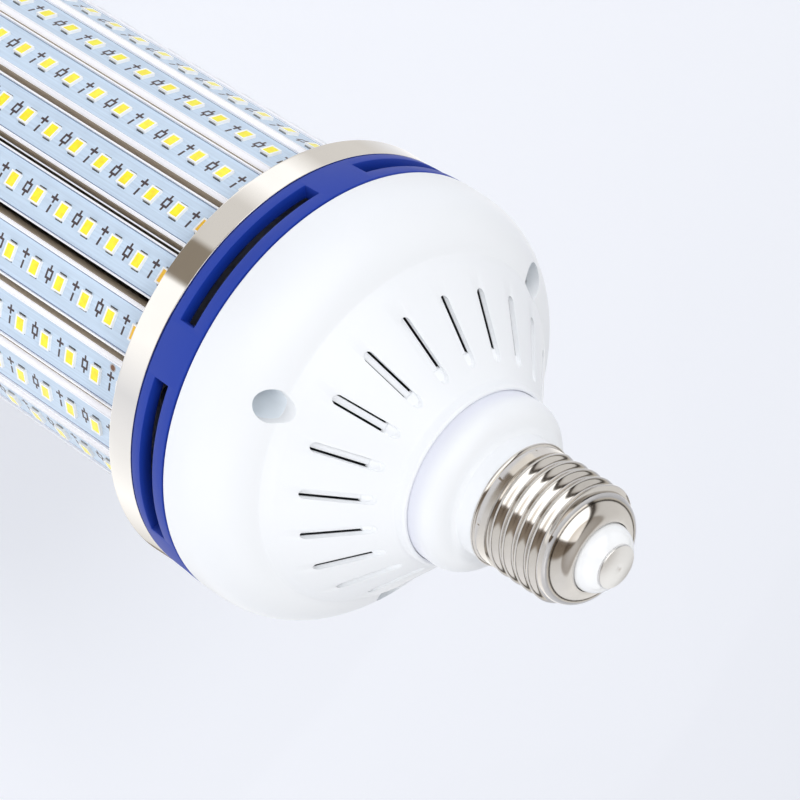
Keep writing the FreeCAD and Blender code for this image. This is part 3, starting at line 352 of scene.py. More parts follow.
# Node helpers
def add_node(tree, kind, inputs=None, **settings):
    """Add a node, set it up and feed its inputs with sockets or values."""
    node = tree.nodes.new(kind)
    for name, value in settings.items():
        setattr(node, name, value)
    for key, value in (inputs or {}).items():
        if isinstance(value, bpy.types.NodeSocket):
            tree.links.new(value, node.inputs[key])
        else:
            node.inputs[key].default_value = value
    return node


def feed(tree, node, **inputs):
    """Feed a node's inputs with sockets or values, by name with spaces as underscores."""
    for key, value in inputs.items():
        socket = node.inputs[key.replace("_", " ")]
        if isinstance(value, bpy.types.NodeSocket):
            tree.links.new(value, socket)
        else:
            socket.default_value = value


def maths(tree, operation, *values):
    """The result of one Math node."""
    return add_node(tree, "ShaderNodeMath", dict(enumerate(values)), operation=operation).outputs[0]


def blend_colour(tree, factor, first, second, mode="MIX"):
    """Mix two colours by a factor."""
    inputs = {0: factor, 6: first, 7: second}
    return add_node(tree, "ShaderNodeMix", inputs, data_type="RGBA", blend_type=mode).outputs[2]


def ease(tree, value, low, high, first=0.0, last=1.0):
    """Map a value from one range to another with a smooth step."""
    node = add_node(
        tree, "ShaderNodeMapRange", {0: value, 1: low, 2: high, 3: first, 4: last},
        interpolation_type="SMOOTHSTEP",
    )
    return node.outputs[0]


def coloured(tree, value, stops):
    """Colours by a value from 0 to 1, from (position, colour) pairs."""
    ramp = add_node(tree, "ShaderNodeValToRGB", {0: value})
    elements = ramp.color_ramp.elements
    while len(elements) > 1:
        elements.remove(elements[-1])
    elements[0].position = stops[0][0]
    elements[0].color = (*stops[0][1], 1)
    for position, colour in stops[1:]:
        elements.new(position).color = (*colour, 1)
    return ramp.outputs[0]


def object_place(tree):
    """The shaded point's place on its piece, in metres."""
    return add_node(tree, "ShaderNodeTexCoord").outputs["Object"]


def separate(tree, place):
    """The three parts of a place."""
    return add_node(tree, "ShaderNodeSeparateXYZ", {0: place}).outputs


def noise(tree, place, scale, detail, **more):
    """A noise pattern, from 0 to 1."""
    inputs = {"Vector": place, "Scale": scale, "Detail": detail, **more}
    return add_node(tree, "ShaderNodeTexNoise", inputs).outputs[0]


def streaks_along(tree, place, stretch, scale):
    """Noise that is drawn out along the lamp's axis."""
    pulled = add_node(tree, "ShaderNodeMapping", {0: place, 3: (1, 1, stretch)}).outputs[0]
    return noise(tree, pulled, scale, 3.0)


def distance(tree, x, y):
    """How far a flat point lies from the origin."""
    squares = (maths(tree, "MULTIPLY", part, part) for part in (x, y))
    return maths(tree, "SQRT", maths(tree, "ADD", *squares))


def sector_colours(tree, x, y, zones):
    """Colours by the angle about the axis, from (degrees, colour) pairs."""
    angle = maths(tree, "ARCTAN2", y, x)
    turn = maths(tree, "ADD", maths(tree, "DIVIDE", angle, FULL_TURN), 0.5)
    return coloured(tree, turn, [((degrees + 180) / 360, colour) for degrees, colour in zones])


def new_group(name, inputs, outputs):
    """A shader node group with named sockets; returns its tree and its two end nodes."""
    tree = bpy.data.node_groups.new(name, "ShaderNodeTree")
    for label, kind, value in inputs:
        socket = tree.interface.new_socket(name=label, in_out="INPUT", socket_type=kind)
        if value is not None:
            socket.default_value = value
    for label, kind in outputs:
        tree.interface.new_socket(name=label, in_out="OUTPUT", socket_type=kind)
    return tree, tree.nodes.new("NodeGroupInput"), tree.nodes.new("NodeGroupOutput")


FLOAT = "NodeSocketFloat"
VECTOR = "NodeSocketVector"
COLOUR = "NodeSocketColor"


def moulded_group():
    """Moulded plastic: a faint cloudy tone and a fine grain for the bump."""
    tree, come, go = new_group(
        "moulded_plastic",
        [("Place", VECTOR, None), ("Colour", COLOUR, (1, 1, 1, 1)),
         ("Tone", FLOAT, 0.03), ("Grain", FLOAT, 2600.0)],
        [("Colour", COLOUR), ("Roughness Shift", FLOAT), ("Height", FLOAT)],
    )
    place = come.outputs["Place"]
    cloud = noise(tree, place, 28.0, 3.0)
    grain = noise(tree, place, come.outputs["Grain"], 2.0)
    shade = maths(tree, "MULTIPLY", maths(tree, "SUBTRACT", cloud, 0.5), come.outputs["Tone"])
    level = maths(tree, "ADD", 1.0, shade)
    grey = add_node(tree, "ShaderNodeCombineColor", {0: level, 1: level, 2: level}).outputs[0]
    toned = blend_colour(tree, 1.0, come.outputs["Colour"], grey, "MULTIPLY")
    feed(tree, go, Colour=toned, Roughness_Shift=maths(tree, "MULTIPLY", shade, 3.0), Height=grain)


def brushed_group():
    """Turned or rolled metal: fine lines that run round the lamp's axis, and a cloudy tone."""
    tree, come, go = new_group(
        "rolled_metal",
        [("Place", VECTOR, None), ("Lines", FLOAT, 9000.0)],
        [("Lines", FLOAT), ("Cloud", FLOAT)],
    )
    x, y, z = separate(tree, come.outputs["Place"])
    stretched = maths(tree, "MULTIPLY", maths(tree, "ARCTAN2", y, x), 0.0008)
    spot = add_node(tree, "ShaderNodeCombineXYZ", {0: distance(tree, x, y), 1: stretched, 2: z}).outputs[0]
    lines = noise(tree, spot, come.outputs["Lines"], 3.0, Roughness=0.65)
    cloud = noise(tree, come.outputs["Place"], 60.0, 4.0)
    feed(tree, go, Lines=lines, Cloud=cloud)


def strip_group():
    """Where a point lies on its light strip: across it, out from the axis, and along it, in mm."""
    tree, come, go = new_group(
        "strip_place", [("Place", VECTOR, None)],
        [(name, FLOAT) for name in ("Across", "Out", "Along", "Strip")],
    )
    x, y, z = separate(tree, come.outputs["Place"])
    angle = maths(tree, "ARCTAN2", y, x)
    strip = maths(tree, "ROUND", maths(tree, "DIVIDE", maths(tree, "ADD", angle, math.pi / 2), STRIP_STEP))
    facing = maths(tree, "SUBTRACT", maths(tree, "MULTIPLY", strip, STRIP_STEP), math.pi / 2)
    cosine, sine = maths(tree, "COSINE", facing), maths(tree, "SINE", facing)
    out = maths(tree, "ADD", maths(tree, "MULTIPLY", x, cosine), maths(tree, "MULTIPLY", y, sine))
    across = maths(tree, "SUBTRACT", maths(tree, "MULTIPLY", y, cosine), maths(tree, "MULTIPLY", x, sine))
    across, out, along = (maths(tree, "DIVIDE", value, MM) for value in (across, out, z))
    feed(tree, go, Across=across, Out=out, Along=along, Strip=strip)


def use_group(tree, name, **inputs):
    """Place a shared node group."""
    node = add_node(tree, "ShaderNodeGroup", node_tree=bpy.data.node_groups[name])
    feed(tree, node, **inputs)
    return node.outputs


def new_material(name, **constants):
    """A material with one Principled shader; constants are set on its own sockets."""
    material = bpy.data.materials.new(name)
    material.use_nodes = True
    tree = material.node_tree
    shader = tree.nodes["Principled BSDF"]
    feed(tree, shader, **constants)
    return material, tree, shader


def bump(tree, height, strength, depth):
    """A normal that follows a height pattern of the given depth in metres."""
    inputs = {"Height": height, "Strength": strength, "Distance": depth}
    return add_node(tree, "ShaderNodeBump", inputs).outputs[0]


# Finishes
def plastic(name, colour, roughness, tone=0.03, grain=2600.0, depth=0.00002, coat=0.0):
    """A moulded plastic."""
    material, tree, shader = new_material(name, Roughness=roughness, Coat_Weight=coat, IOR=1.48)
    grained = use_group(
        tree, "moulded_plastic", Place=object_place(tree), Colour=(*colour, 1), Tone=tone, Grain=grain
    )
    feed(
        tree, shader, Base_Color=grained["Colour"],
        Roughness=maths(tree, "ADD", roughness, grained["Roughness Shift"]),
        Normal=bump(tree, grained["Height"], 0.35, depth),
    )
    return material


def satin_plastic(name, colour):
    """The satin plastic of housing, wells and collar."""
    return plastic(name, colour, 0.36, 0.02, 2200.0, 0.000015)


def housing_plastic(name):
    """The housing's plastic, to be varied: material, tree, shader and the colour it has so far."""
    material = satin_plastic(name, colours().housing)
    shader = material.node_tree.nodes["Principled BSDF"]
    return material, material.node_tree, shader, shader.inputs["Base Color"].links[0].from_socket


def housing_finish(name, painted_shade_depth):
    """The housing's plastic with painted light and shade: a painted glow in the mouths of the vents, and
    painted shade, near black, from a depth below the cone.
    """
    material, tree, shader, moulded = housing_plastic(name)
    x, y, z = separate(tree, object_place(tree))
    reach = maths(tree, "DIVIDE", distance(tree, x, y), MM)
    cone = maths(tree, "MULTIPLY_ADD", reach, CONE_SLOPE, cone_height(0))
    down = maths(tree, "SUBTRACT", cone, maths(tree, "DIVIDE", z, MM))
    vents_middle, vents_half = (VENT_INNER + VENT_OUTER) / 2, (VENT_OUTER - VENT_INNER) / 2 + 1.4
    among = maths(tree, "COMPARE", reach, vents_middle, vents_half)
    # Painted shade: near black below the given depth under the cone, inside the vents.
    inside = maths(tree, "MULTIPLY", among, ease(tree, down, painted_shade_depth, painted_shade_depth + 0.3))
    # Painted light: the vents' mouths glow by emission, though they are no lamp.
    mouth = maths(tree, "MULTIPLY", among, ease(tree, down, 0.25, 0.7))
    with_painted_shade = blend_colour(tree, inside, moulded, (0.012, 0.012, 0.014, 1))
    lit = maths(tree, "MULTIPLY", maths(tree, "SUBTRACT", mouth, inside), sizes().vent_painted_glow)
    feed(tree, shader, Base_Color=with_painted_shade, Emission_Color=(0.95, 0.97, 1.0, 1), Emission_Strength=lit)
    return material


def rolled_metal(name, colour, roughness, line_depth=0.000004, lines=9000.0, dull=0.12):
    """A rolled, turned or polished metal."""
    material, tree, shader = new_material(name, Roughness=roughness, Metallic=1.0)
    rolled = use_group(tree, "rolled_metal", Place=object_place(tree), Lines=lines)
    darker = tuple(c * (1 - dull) for c in colour)
    tone = blend_colour(tree, ease(tree, rolled["Cloud"], 0.35, 0.7), (*colour, 1), (*darker, 1))
    rough = maths(tree, "ADD", roughness, maths(tree, "MULTIPLY", rolled["Lines"], roughness * 0.8))
    relief = bump(tree, rolled["Lines"], 0.3, line_depth)
    feed(tree, shader, Base_Color=tone, Roughness=rough, Normal=relief)
    return material


def box_mask(tree, x, y, middle, size):
    """1 inside a rectangle of a flat face and 0 outside."""
    inside = []
    for value, centre, length in zip((x, y), middle, size):
        offset = maths(tree, "ABSOLUTE", maths(tree, "SUBTRACT", value, centre))
        inside.append(maths(tree, "LESS_THAN", offset, length / 2))
    return maths(tree, "MULTIPLY", *inside)


def plus_or_symbol(tree, cell, across, between):
    """Printed marks: a plus and a minus after every even light, a part's outline after every odd one."""
    odd = maths(tree, "ABSOLUTE", maths(tree, "MODULO", cell, 2.0))
    upright, level, minus, outer, inner, leads = (
        box_mask(tree, across, between, (middle, 0.1), size)
        for middle, size in (
            (-1.4, (0.52, 2.1)), (-1.4, (2.1, 0.52)), (1.0, (1.8, 0.52)),
            (-0.3, (2.2, 1.9)), (-0.3, (1.2, 0.9)), (-0.3, (4.0, 0.5)),
        )
    )
    signs = maths(tree, "MAXIMUM", maths(tree, "MAXIMUM", upright, level), minus)
    symbol = maths(tree, "SUBTRACT", maths(tree, "MAXIMUM", outer, leads), inner)
    return add_node(tree, "ShaderNodeMix", {0: odd, 2: signs, 3: symbol}).outputs[0]


def copper_pad(tree, strip, below):
    """The board's colours with one copper pad and its grey ring laid over them."""
    sideways, upward = (
        maths(tree, "SUBTRACT", strip[name], middle) for name, middle in zip(("Across", "Along"), PAD_PLACE)
    )
    from_pad = distance(tree, sideways, upward)
    on_strip = maths(tree, "COMPARE", strip["Strip"], PAD_STRIP, 0.5)
    for radius, colour in ((0.9, (0.46, 0.45, 0.46, 1)), (0.62, (0.20, 0.085, 0.04, 1))):
        disc = maths(tree, "MULTIPLY", on_strip, maths(tree, "LESS_THAN", from_pad, radius))
        below = blend_colour(tree, disc, below, colour)
    return below


def board_finish():
    """White solder mask with faint tracks, near-black bars at both ends of each light, plain printed marks
    and a painted shadow along both edges.
    """
    material, tree, shader = new_material("board_solder_mask", Roughness=0.38, IOR=1.5)
    place = object_place(tree)
    strip = use_group(tree, "strip_place", Place=place)
    across, along = strip["Across"], strip["Along"]
    steps = maths(tree, "DIVIDE", maths(tree, "SUBTRACT", along, LED_FIRST), LED_PITCH)
    aside = maths(tree, "SUBTRACT", steps, maths(tree, "ROUND", steps))
    from_led = maths(tree, "MULTIPLY", aside, LED_PITCH)
    cell = maths(tree, "FLOOR", steps)
    past = maths(tree, "SUBTRACT", steps, cell)
    between = maths(tree, "MULTIPLY", maths(tree, "SUBTRACT", past, 0.5), LED_PITCH)
    lines = []
    for middle, half in ((3.3, 0.18), (-3.1, 0.5)):
        from_line = maths(tree, "ABSOLUTE", maths(tree, "SUBTRACT", across, middle))
        lines.append(ease(tree, from_line, half, half + 0.12, 1.0, 0.0))
    tracks = maths(tree, "MAXIMUM", *lines)
    mask, darker = (*colours().board, 1), (*(c * 0.9 for c in colours().board), 1)
    tone = blend_colour(tree, maths(tree, "MULTIPLY", tracks, 0.5), mask, darker)
    # Near-black bars at both ends of each light.
    spots = ((1.98, 0.15), (-1.98, -0.15))
    bars = maths(tree, "MAXIMUM", *(box_mask(tree, across, from_led, spot, (0.26, 2.1)) for spot in spots))
    marks = plus_or_symbol(tree, cell, across, between)
    streaks = streaks_along(tree, place, 0.012, 2200.0)
    tone = blend_colour(tree, ease(tree, streaks, 0.38, 0.68), tone, darker)
    printed = blend_colour(tree, maths(tree, "MULTIPLY", marks, 0.96), tone, (0.035, 0.009, 0.009, 1))
    # Painted shadow: a dark blue line along both long edges of the board, where the lips beside it shade it.
    edge = maths(tree, "GREATER_THAN", maths(tree, "ABSOLUTE", across), 4.5)
    with_edge_shadow = blend_colour(tree, maths(tree, "MULTIPLY", edge, 0.8), printed, (0.05, 0.085, 0.20, 1))
    with_end_bars = blend_colour(tree, bars, with_edge_shadow, (0.015, 0.015, 0.02, 1))
    grain = noise(tree, place, 1800.0, 2.0)
    height = maths(tree, "ADD", maths(tree, "MULTIPLY", grain, 0.2), tracks)
    feed(
        tree, shader, Base_Color=copper_pad(tree, strip, with_end_bars), Normal=bump(tree, height, 0.4, 0.00003)
    )
    return material


def bar_finish():
    """White powder coat on the lips, with painted light on the slot walls just below them and a streaked
    brown deeper down in the slots.
    """
    material, tree, shader = new_material("bar_powder_coat", Roughness=0.42)
    place = object_place(tree)
    strip = use_group(tree, "strip_place", Place=place)
    deep = ease(tree, strip["Out"], LIP_TOP - 1.75, LIP_TOP - 1.6, 1.0, 0.0)
    colour = (*colours().bar, 1)
    grained = use_group(tree, "moulded_plastic", Place=place, Colour=colour, Tone=0.05, Grain=3200.0)
    streaks = streaks_along(tree, place, 0.02, 900.0)
    # Deeper down in the slots the colour turns a streaked brown.
    deep_brown = blend_colour(tree, streaks, (0.46, 0.39, 0.30, 1), (0.66, 0.58, 0.47, 1))
    # Painted light: the walls from 0.3 mm below the lip tops down to the brown glow a little, standing in
    # for light bounced into the narrow slots.
    wall = ease(tree, strip["Out"], LIP_TOP - 0.3, LIP_TOP - 0.05, 1.0, 0.0)
    painted_wall_light = maths(tree, "SUBTRACT", wall, maths(tree, "MULTIPLY", wall, deep))
    height = maths(tree, "ADD", grained["Height"], streaks)
    feed(
        tree, shader,
        Base_Color=blend_colour(tree, deep, grained["Colour"], deep_brown),
        Metallic=maths(tree, "MULTIPLY", deep, 0.2),
        Emission_Color=(0.95, 0.95, 1.0, 1),
        Emission_Strength=maths(tree, "MULTIPLY", painted_wall_light, sizes().slot_wall_painted_light),
        Normal=bump(tree, height, 0.3, 0.00002),
    )
    return material


def package_finishes():
    """The white frame, the yellow fill and the tinned feet of a light package; the last fill on each strip
    is painted orange, a painted warm reflection and shade from the band beside it.
    """
    frame_material = plastic("package_frame", (0.97, 0.965, 0.94), 0.4, 0.04, 5000.0)
    fill, tree, shader = new_material("package_fill", Roughness=0.28, Coat_Weight=0.5, Coat_Roughness=0.1)
    place = object_place(tree)
    cloud = noise(tree, place, 700.0, 3.0)
    along = use_group(tree, "strip_place", Place=place)["Along"]
    last = LED_FIRST + LED_PITCH * (LED_COUNT - 1)
    warm = blend_colour(tree, ease(tree, cloud, 0.35, 0.75), (*colours().phosphor, 1), (1.0, 0.78, 0.01, 1))
    # Painted reflection and shade: the last light's fill turns orange next to the band.
    warm = blend_colour(tree, ease(tree, along, last - 2, last - 1.5), warm, (1.0, 0.56, 0.008, 1))
    feed(tree, shader, Base_Color=warm, Normal=bump(tree, cloud, 0.2, 0.00002))
    feet = rolled_metal("package_feet", (0.55, 0.54, 0.52), 0.3)
    return frame_material, fill, feet


# Operators
class LampPiece:
    """What the lamp's operators share."""

    bl_options = {"REGISTER", "UNDO"}

    def execute(self, context):
        """Build the pieces; what goes wrong there is raised to the caller."""
        self.build(context)
        deselect()
        return {"FINISHED"}


class LAMP_OT_finishes(LampPiece, bpy.types.Operator):
    """Build the shared node groups"""

    bl_idname = "lamp.finishes"
    bl_label = "Finishes"

    def build(self, context):
        moulded_group()
        brushed_group()
        strip_group()


class LAMP_OT_housing(LampPiece, bpy.types.Operator):
    """Model the white housing with its vents and screw wells"""

    bl_idname = "lamp.housing"
    bl_label = "Housing"

    def build(self, context):
        piece = turn_profile("housing_shell", self.section())
        for turn in WELL_TURNS:
            self.cut_well(piece, turn)
        cut_away(piece, repeat_round(self.vent_cutter(), "slots", VENT_TURNS))
        soften(piece, sizes().vent_bevel)
        smooth(piece)
        # The finish paints shade into the vents from 1.4 mm below the cone and a glow into their mouths.
        finish_piece(piece, housing_finish("housing_plastic", 1.4), "housing_white", "housing")

    def section(self):
        """Outer and inner profile of the shell, heights from the line."""
        shoulder_low, shoulder_high = (47.9, 15.0), (38.6, 27.65)
        rim_out, rim_top = (19.95, 48.4), (19.2, 49.0)
        inner_low, inner_high = (45.5, 15.0), (36.2, 25.9)
        foot = [(44.2, 8.8), (44.2, 10.3), (47.75, 10.3), (48.0, 10.55)]
        shoulder = [shoulder_low, *bend_between(shoulder_low, shoulder_high, 2.45, 14), shoulder_high]
        crease = [(38.35, 27.85), (37.1, 29.75), (36.7, 30.3)]
        mouth = [(22.9, 43.6), (22.3, 44.15), (20.6, 45.9), (20.15, 46.3), (19.95, 46.7)]
        rim = [rim_out, *bend_between(rim_out, rim_top, 0.14, 4), (19.05, 48.9), (18.98, 48.6)]
        inside = [(18.98, 41.5), (21.7, 41.5), (34.5, 28.4), inner_high]
        inside += [*bend_between(inner_high, inner_low, -1.9, 8), inner_low]
        inside += [(45.5, 11.8), (42.8, 11.8), (42.8, 8.8)]
        return foot + shoulder + crease + mouth + rim + inside

    def cut_well(self, piece, angle):
        """Cut one screw well down to its screw."""
        middle, depth, play = 24, 26, 0.04
        cutter = add_shape(
            bpy.ops.mesh.primitive_cylinder_add,
            (WELL_CIRCLE * math.cos(angle), WELL_CIRCLE * math.sin(angle), LINE + middle),
            vertices=48, radius=(WELL_RADIUS + play) * MM, depth=depth * MM,
        )
        cut_away(piece, cutter)

    def vent_cutter(self):
        """A round-ended upright bar across the cone."""
        middle, depth = 38, 30
        bar = add_shape(
            bpy.ops.mesh.primitive_cylinder_add, (VENT_INNER, 0, LINE + middle),
            vertices=24, radius=VENT_HALF * MM, depth=depth * MM,
        )
        pick_points(bar, lambda place: place.x > VENT_INNER + 0.001)
        bpy.ops.transform.translate(value=((VENT_OUTER - VENT_INNER) * MM, 0, 0))
        bpy.ops.object.mode_set(mode="OBJECT")
        return bar


class LAMP_OT_vent_ribs(LampPiece, bpy.types.Operator):
    """Model the rib and the pocket of each vent"""

    bl_idname = "lamp.vent_ribs"
    bl_label = "Vent ribs"

    def build(self, context):
        piece = repeat_round(self.rib(), "vent_ribs", VENT_TURNS)
        soften(piece, 0.12 * MM)
        smooth(piece)
        # The ribs take the same finish, with painted shade only from 2.1 mm below the cone.
        finish_piece(piece, housing_finish("rib_plastic", 2.1), "housing_white")

    def rib(self):
        """A sloping bar in one vent, close under the cone, with a deeper floor at its inner end."""
        inner, middle, outer = VENT_INNER - 1.6, VENT_INNER + 0.4, VENT_OUTER + 1.6
        bars = []
        lengths = ((inner, middle, FLOOR_DOWN, FLOOR_WIDE), (middle, outer, RIB_DOWN, RIB_WIDE))
        for begin, end, down, wide in lengths:
            bar = add_shape(
                bpy.ops.mesh.primitive_plane_add, (begin, 0, cone_height(begin) - down - RIB_THICK / 2),
                (RIB_THICK, wide, 1), (0, math.pi / 2, 0), size=MM,
            )
            open_all(bar)
            run = Vector((end - begin, 0, CONE_SLOPE * (end - begin))) * MM
            bpy.ops.mesh.extrude_region_move(TRANSFORM_OT_translate={"value": run})
            close_outward()
            bars.append(bar)
        return join_all(bars, "rib")


class LAMP_OT_well_tubes(LampPiece, bpy.types.Operator):
    """Model the tubes of the screw wells and finish the long screws in them"""

    bl_idname = "lamp.wells"
    bl_label = "Wells and long screws"

    def build(self, context):
        outer, screw_hole, foot, floor = WELL_RADIUS + 1.0, 1.6, 8.9, 10.8
        section = [
            (WELL_RADIUS, floor), (WELL_RADIUS, 29.0), (outer, 27.0), (outer, foot), (screw_hole, foot),
            (screw_hole, floor),
        ]
        tube = turn_profile("well_tube", section, 0, 40)
        tubes = repeat_round(tube, "well_tubes", WELL_TURNS, Vector((WELL_CIRCLE, 0, LINE)) * MM)
        limit = turn_profile("well_limit", [(1, 8), (47, 8), (47, 15), (37.5, 27), (1, 28)])
        cut_away(tubes, limit, "INTERSECT")
        smooth(tubes)
        # Painted light: the tubes take a paler, bluer copy of the housing's plastic, so that the wells look
        # lit inside.
        finish_piece(tubes, satin_plastic("well_plastic", (0.89, 0.95, 1.0)), "housing_white")
        dress("housing_screws", rolled_metal("screw_steel", (0.60, 0.60, 0.60), 0.28, lines=4000.0))


class LAMP_OT_vent_ring(LampPiece, bpy.types.Operator):
    """Model the blue slotted ring"""

    bl_idname = "lamp.vent_ring"
    bl_label = "Slotted ring"

    def build(self, context):
        section = [
            (44.4, 0, 0), (46.9, 0, 0), (46.9, 0.35, 0), (47.42, 0.35, 0.2), (47.97, 9.9, 0.2),
            (47.3, 9.9, 0), (47.3, 10.3, 0), (44.4, 10.3, 0),
        ]
        piece = turn_profile("slotted_ring", rounded(section, 3), sides=192)
        for number in range(RING_SLOTS):
            middle = WELL_TURNS[0] + FULL_TURN * (number + 0.5) / RING_SLOTS
            cut_away(piece, self.slot_cutter(middle))
        soften(piece, 0.18 * MM, 50)
        smooth(piece)
        material = plastic("ring_plastic", colours().ring, 0.55, 0.10, 2400.0, 0.00002)
        finish_piece(piece, material, "ring_blue", "vent_ring")

    def slot_cutter(self, middle):
        """A sector of a flat ring, as wide as one slot."""
        half, reach, middle_height, long, high = math.radians(22.5), 46.2, 4.85, 4.8, 4.1
        cutter = add_shape(
            bpy.ops.mesh.primitive_plane_add, (reach, 0, LINE + middle_height),
            (long, high, 1), (math.pi / 2, 0, 0), size=MM,
        )
        open_all(cutter)
        bpy.ops.mesh.spin(steps=24, angle=2 * half, center=(0, 0, 0), axis=(0, 0, 1))
        close_outward()
        cutter.matrix_world = Matrix.Rotation(middle + half, 4, "Z")
        settle(cutter)
        return cutter


class LAMP_OT_trim_bands(LampPiece, bpy.types.Operator):
    """Model the polished bands at both ends of the body"""

    bl_idname = "lamp.trim_bands"
    bl_label = "Trim bands"

    def build(self, context):
        material = rolled_metal("band_polish", (0.82, 0.805, 0.785), 0.05, 0.000001, 12000.0, 0.05)
        for end, up in (("base", False), ("head", True)):
            name, node = f"{end}_band", f"{end}_trim_band"
            low, high = (corner.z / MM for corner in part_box(node))
            section = [
                (46.6, 0, 0.05), (47.4, 0, 0.08), (47.41, 0.2, 0), (47.57, 5.6, 0), (47.6, 6.5, 0.42),
                (41.0, 6.5, 0.2), (41.0, 5.7, 0.1), (46.8, 5.7, 0.2),
            ]
            points = [(r, low + z if up else high - z) for r, z in rounded(section, 4)]
            piece = turn_profile(name, points, 0, 200)
            smooth(piece)
            finish_piece(piece, material, "band_mirror", node)


class LAMP_OT_strips(LampPiece, bpy.types.Operator):
    """Finish the heat sink bars and light boards"""

    bl_idname = "lamp.strips"
    bl_label = "Light strips"

    def build(self, context):
        bars, boards = bar_finish(), board_finish()
        for number in range(1, STRIPS + 1):
            dress(f"heat_sink_bar_{number:02d}", bars)
            dress(f"led_board_{number:02d}", boards)


class LAMP_OT_packages(LampPiece, bpy.types.Operator):
    """Model the light packages on every strip"""

    bl_idname = "lamp.packages"
    bl_label = "Light packages"

    def build(self, context):
        package = self.package()
        array = package.modifiers.new("row", "ARRAY")
        array.count = LED_COUNT
        array.use_relative_offset = False
        array.use_constant_offset = True
        array.constant_offset_displace = (0, 0, LED_PITCH * MM)
        apply_modifiers(package)
        rows = []
        for number in range(STRIPS):
            rows.append(copy_turned(package, f"light_row_{number + 1:02d}", number * STRIP_STEP))
        bpy.data.objects.remove(package)
        for row in rows:
            finish_piece(row, None, "led_face")
        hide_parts("led_packages")

    def package(self):
        """One package on the strip that faces the front: frame, recessed fill and tinned feet."""
        spot = (0, -BOARD_FACE - LED_HIGH / 2, LED_FIRST)
        piece = add_shape(
            bpy.ops.mesh.primitive_cube_add, spot, (LED_LONG, LED_HIGH, LED_WIDE), size=MM
        )
        finishes = package_finishes()
        for material in finishes:
            piece.data.materials.append(material)
        front = -(BOARD_FACE + LED_HIGH)
        border, slant, recess = 0.3, 0.06, 0.08
        pick_points(piece, lambda place: place.y < front + recess)
        bpy.ops.mesh.inset(thickness=border * MM)
        bpy.ops.mesh.inset(thickness=slant * MM, depth=-recess * MM)
        bpy.ops.object.mode_set(mode="OBJECT")
        for face in piece.data.polygons:
            nearest = min(piece.data.vertices[v].co.y for v in face.vertices) / MM
            if face.normal.y < -0.9 and nearest > front + recess / 2:
                face.material_index = 1
        thick, high, long = 0.3, 0.24, 1.9
        feet = []
        for side in (-1, 1):
            spot = (side * (LED_LONG / 2 + 0.02), -BOARD_FACE - high / 2, LED_FIRST)
            foot = add_shape(bpy.ops.mesh.primitive_cube_add, spot, (thick, high, long), size=MM)
            foot.data.materials.append(finishes[2])
            feet.append(foot)
        return join_all([piece] + feet, "light_package")


class LAMP_OT_collar(LampPiece, bpy.types.Operator):
    """Model the collar between housing and screw cap"""

    bl_idname = "lamp.collar"
    bl_label = "Collar"

    def build(self, context):
        wall, neck = (18.9, 52.3), (14.4, 56.0)
        skirt = [(17.1, 43.0), (18.75, 43.0), (18.9, 43.15), wall, *bend_between(wall, neck, 1.05, 12), neck]
        shank = [(13.6, 56.25), (13.2, 56.6), (13.1, 57.0), (13.1, 60.6)]
        plug = [(12.2, 60.6), (12.2, 63.8), (11.0, 63.8), (11.0, 54.2), (17.1, 50.5)]
        piece = turn_profile("neck_collar", skirt + shank + plug)
        smooth(piece)
        finish_piece(piece, self.finish(), "housing_white", "cap_collar")

    def finish(self):
        """The housing's plastic with painted shade: a little cooler and darker down in the step to the
        mouth.
        """
        material, tree, shader, moulded = housing_plastic("collar_plastic")
        height = maths(tree, "DIVIDE", separate(tree, object_place(tree))[2], MM)
        # Painted shade: the wall turns darker and cooler towards the mouth, below 53.5 mm over the line.
        low = ease(tree, height, LINE + 49.5, LINE + 53.5, 1.0, 0.0)
        feed(tree, shader, Base_Color=blend_colour(tree, low, moulded, (0.76, 0.775, 0.85, 1)))
        return material


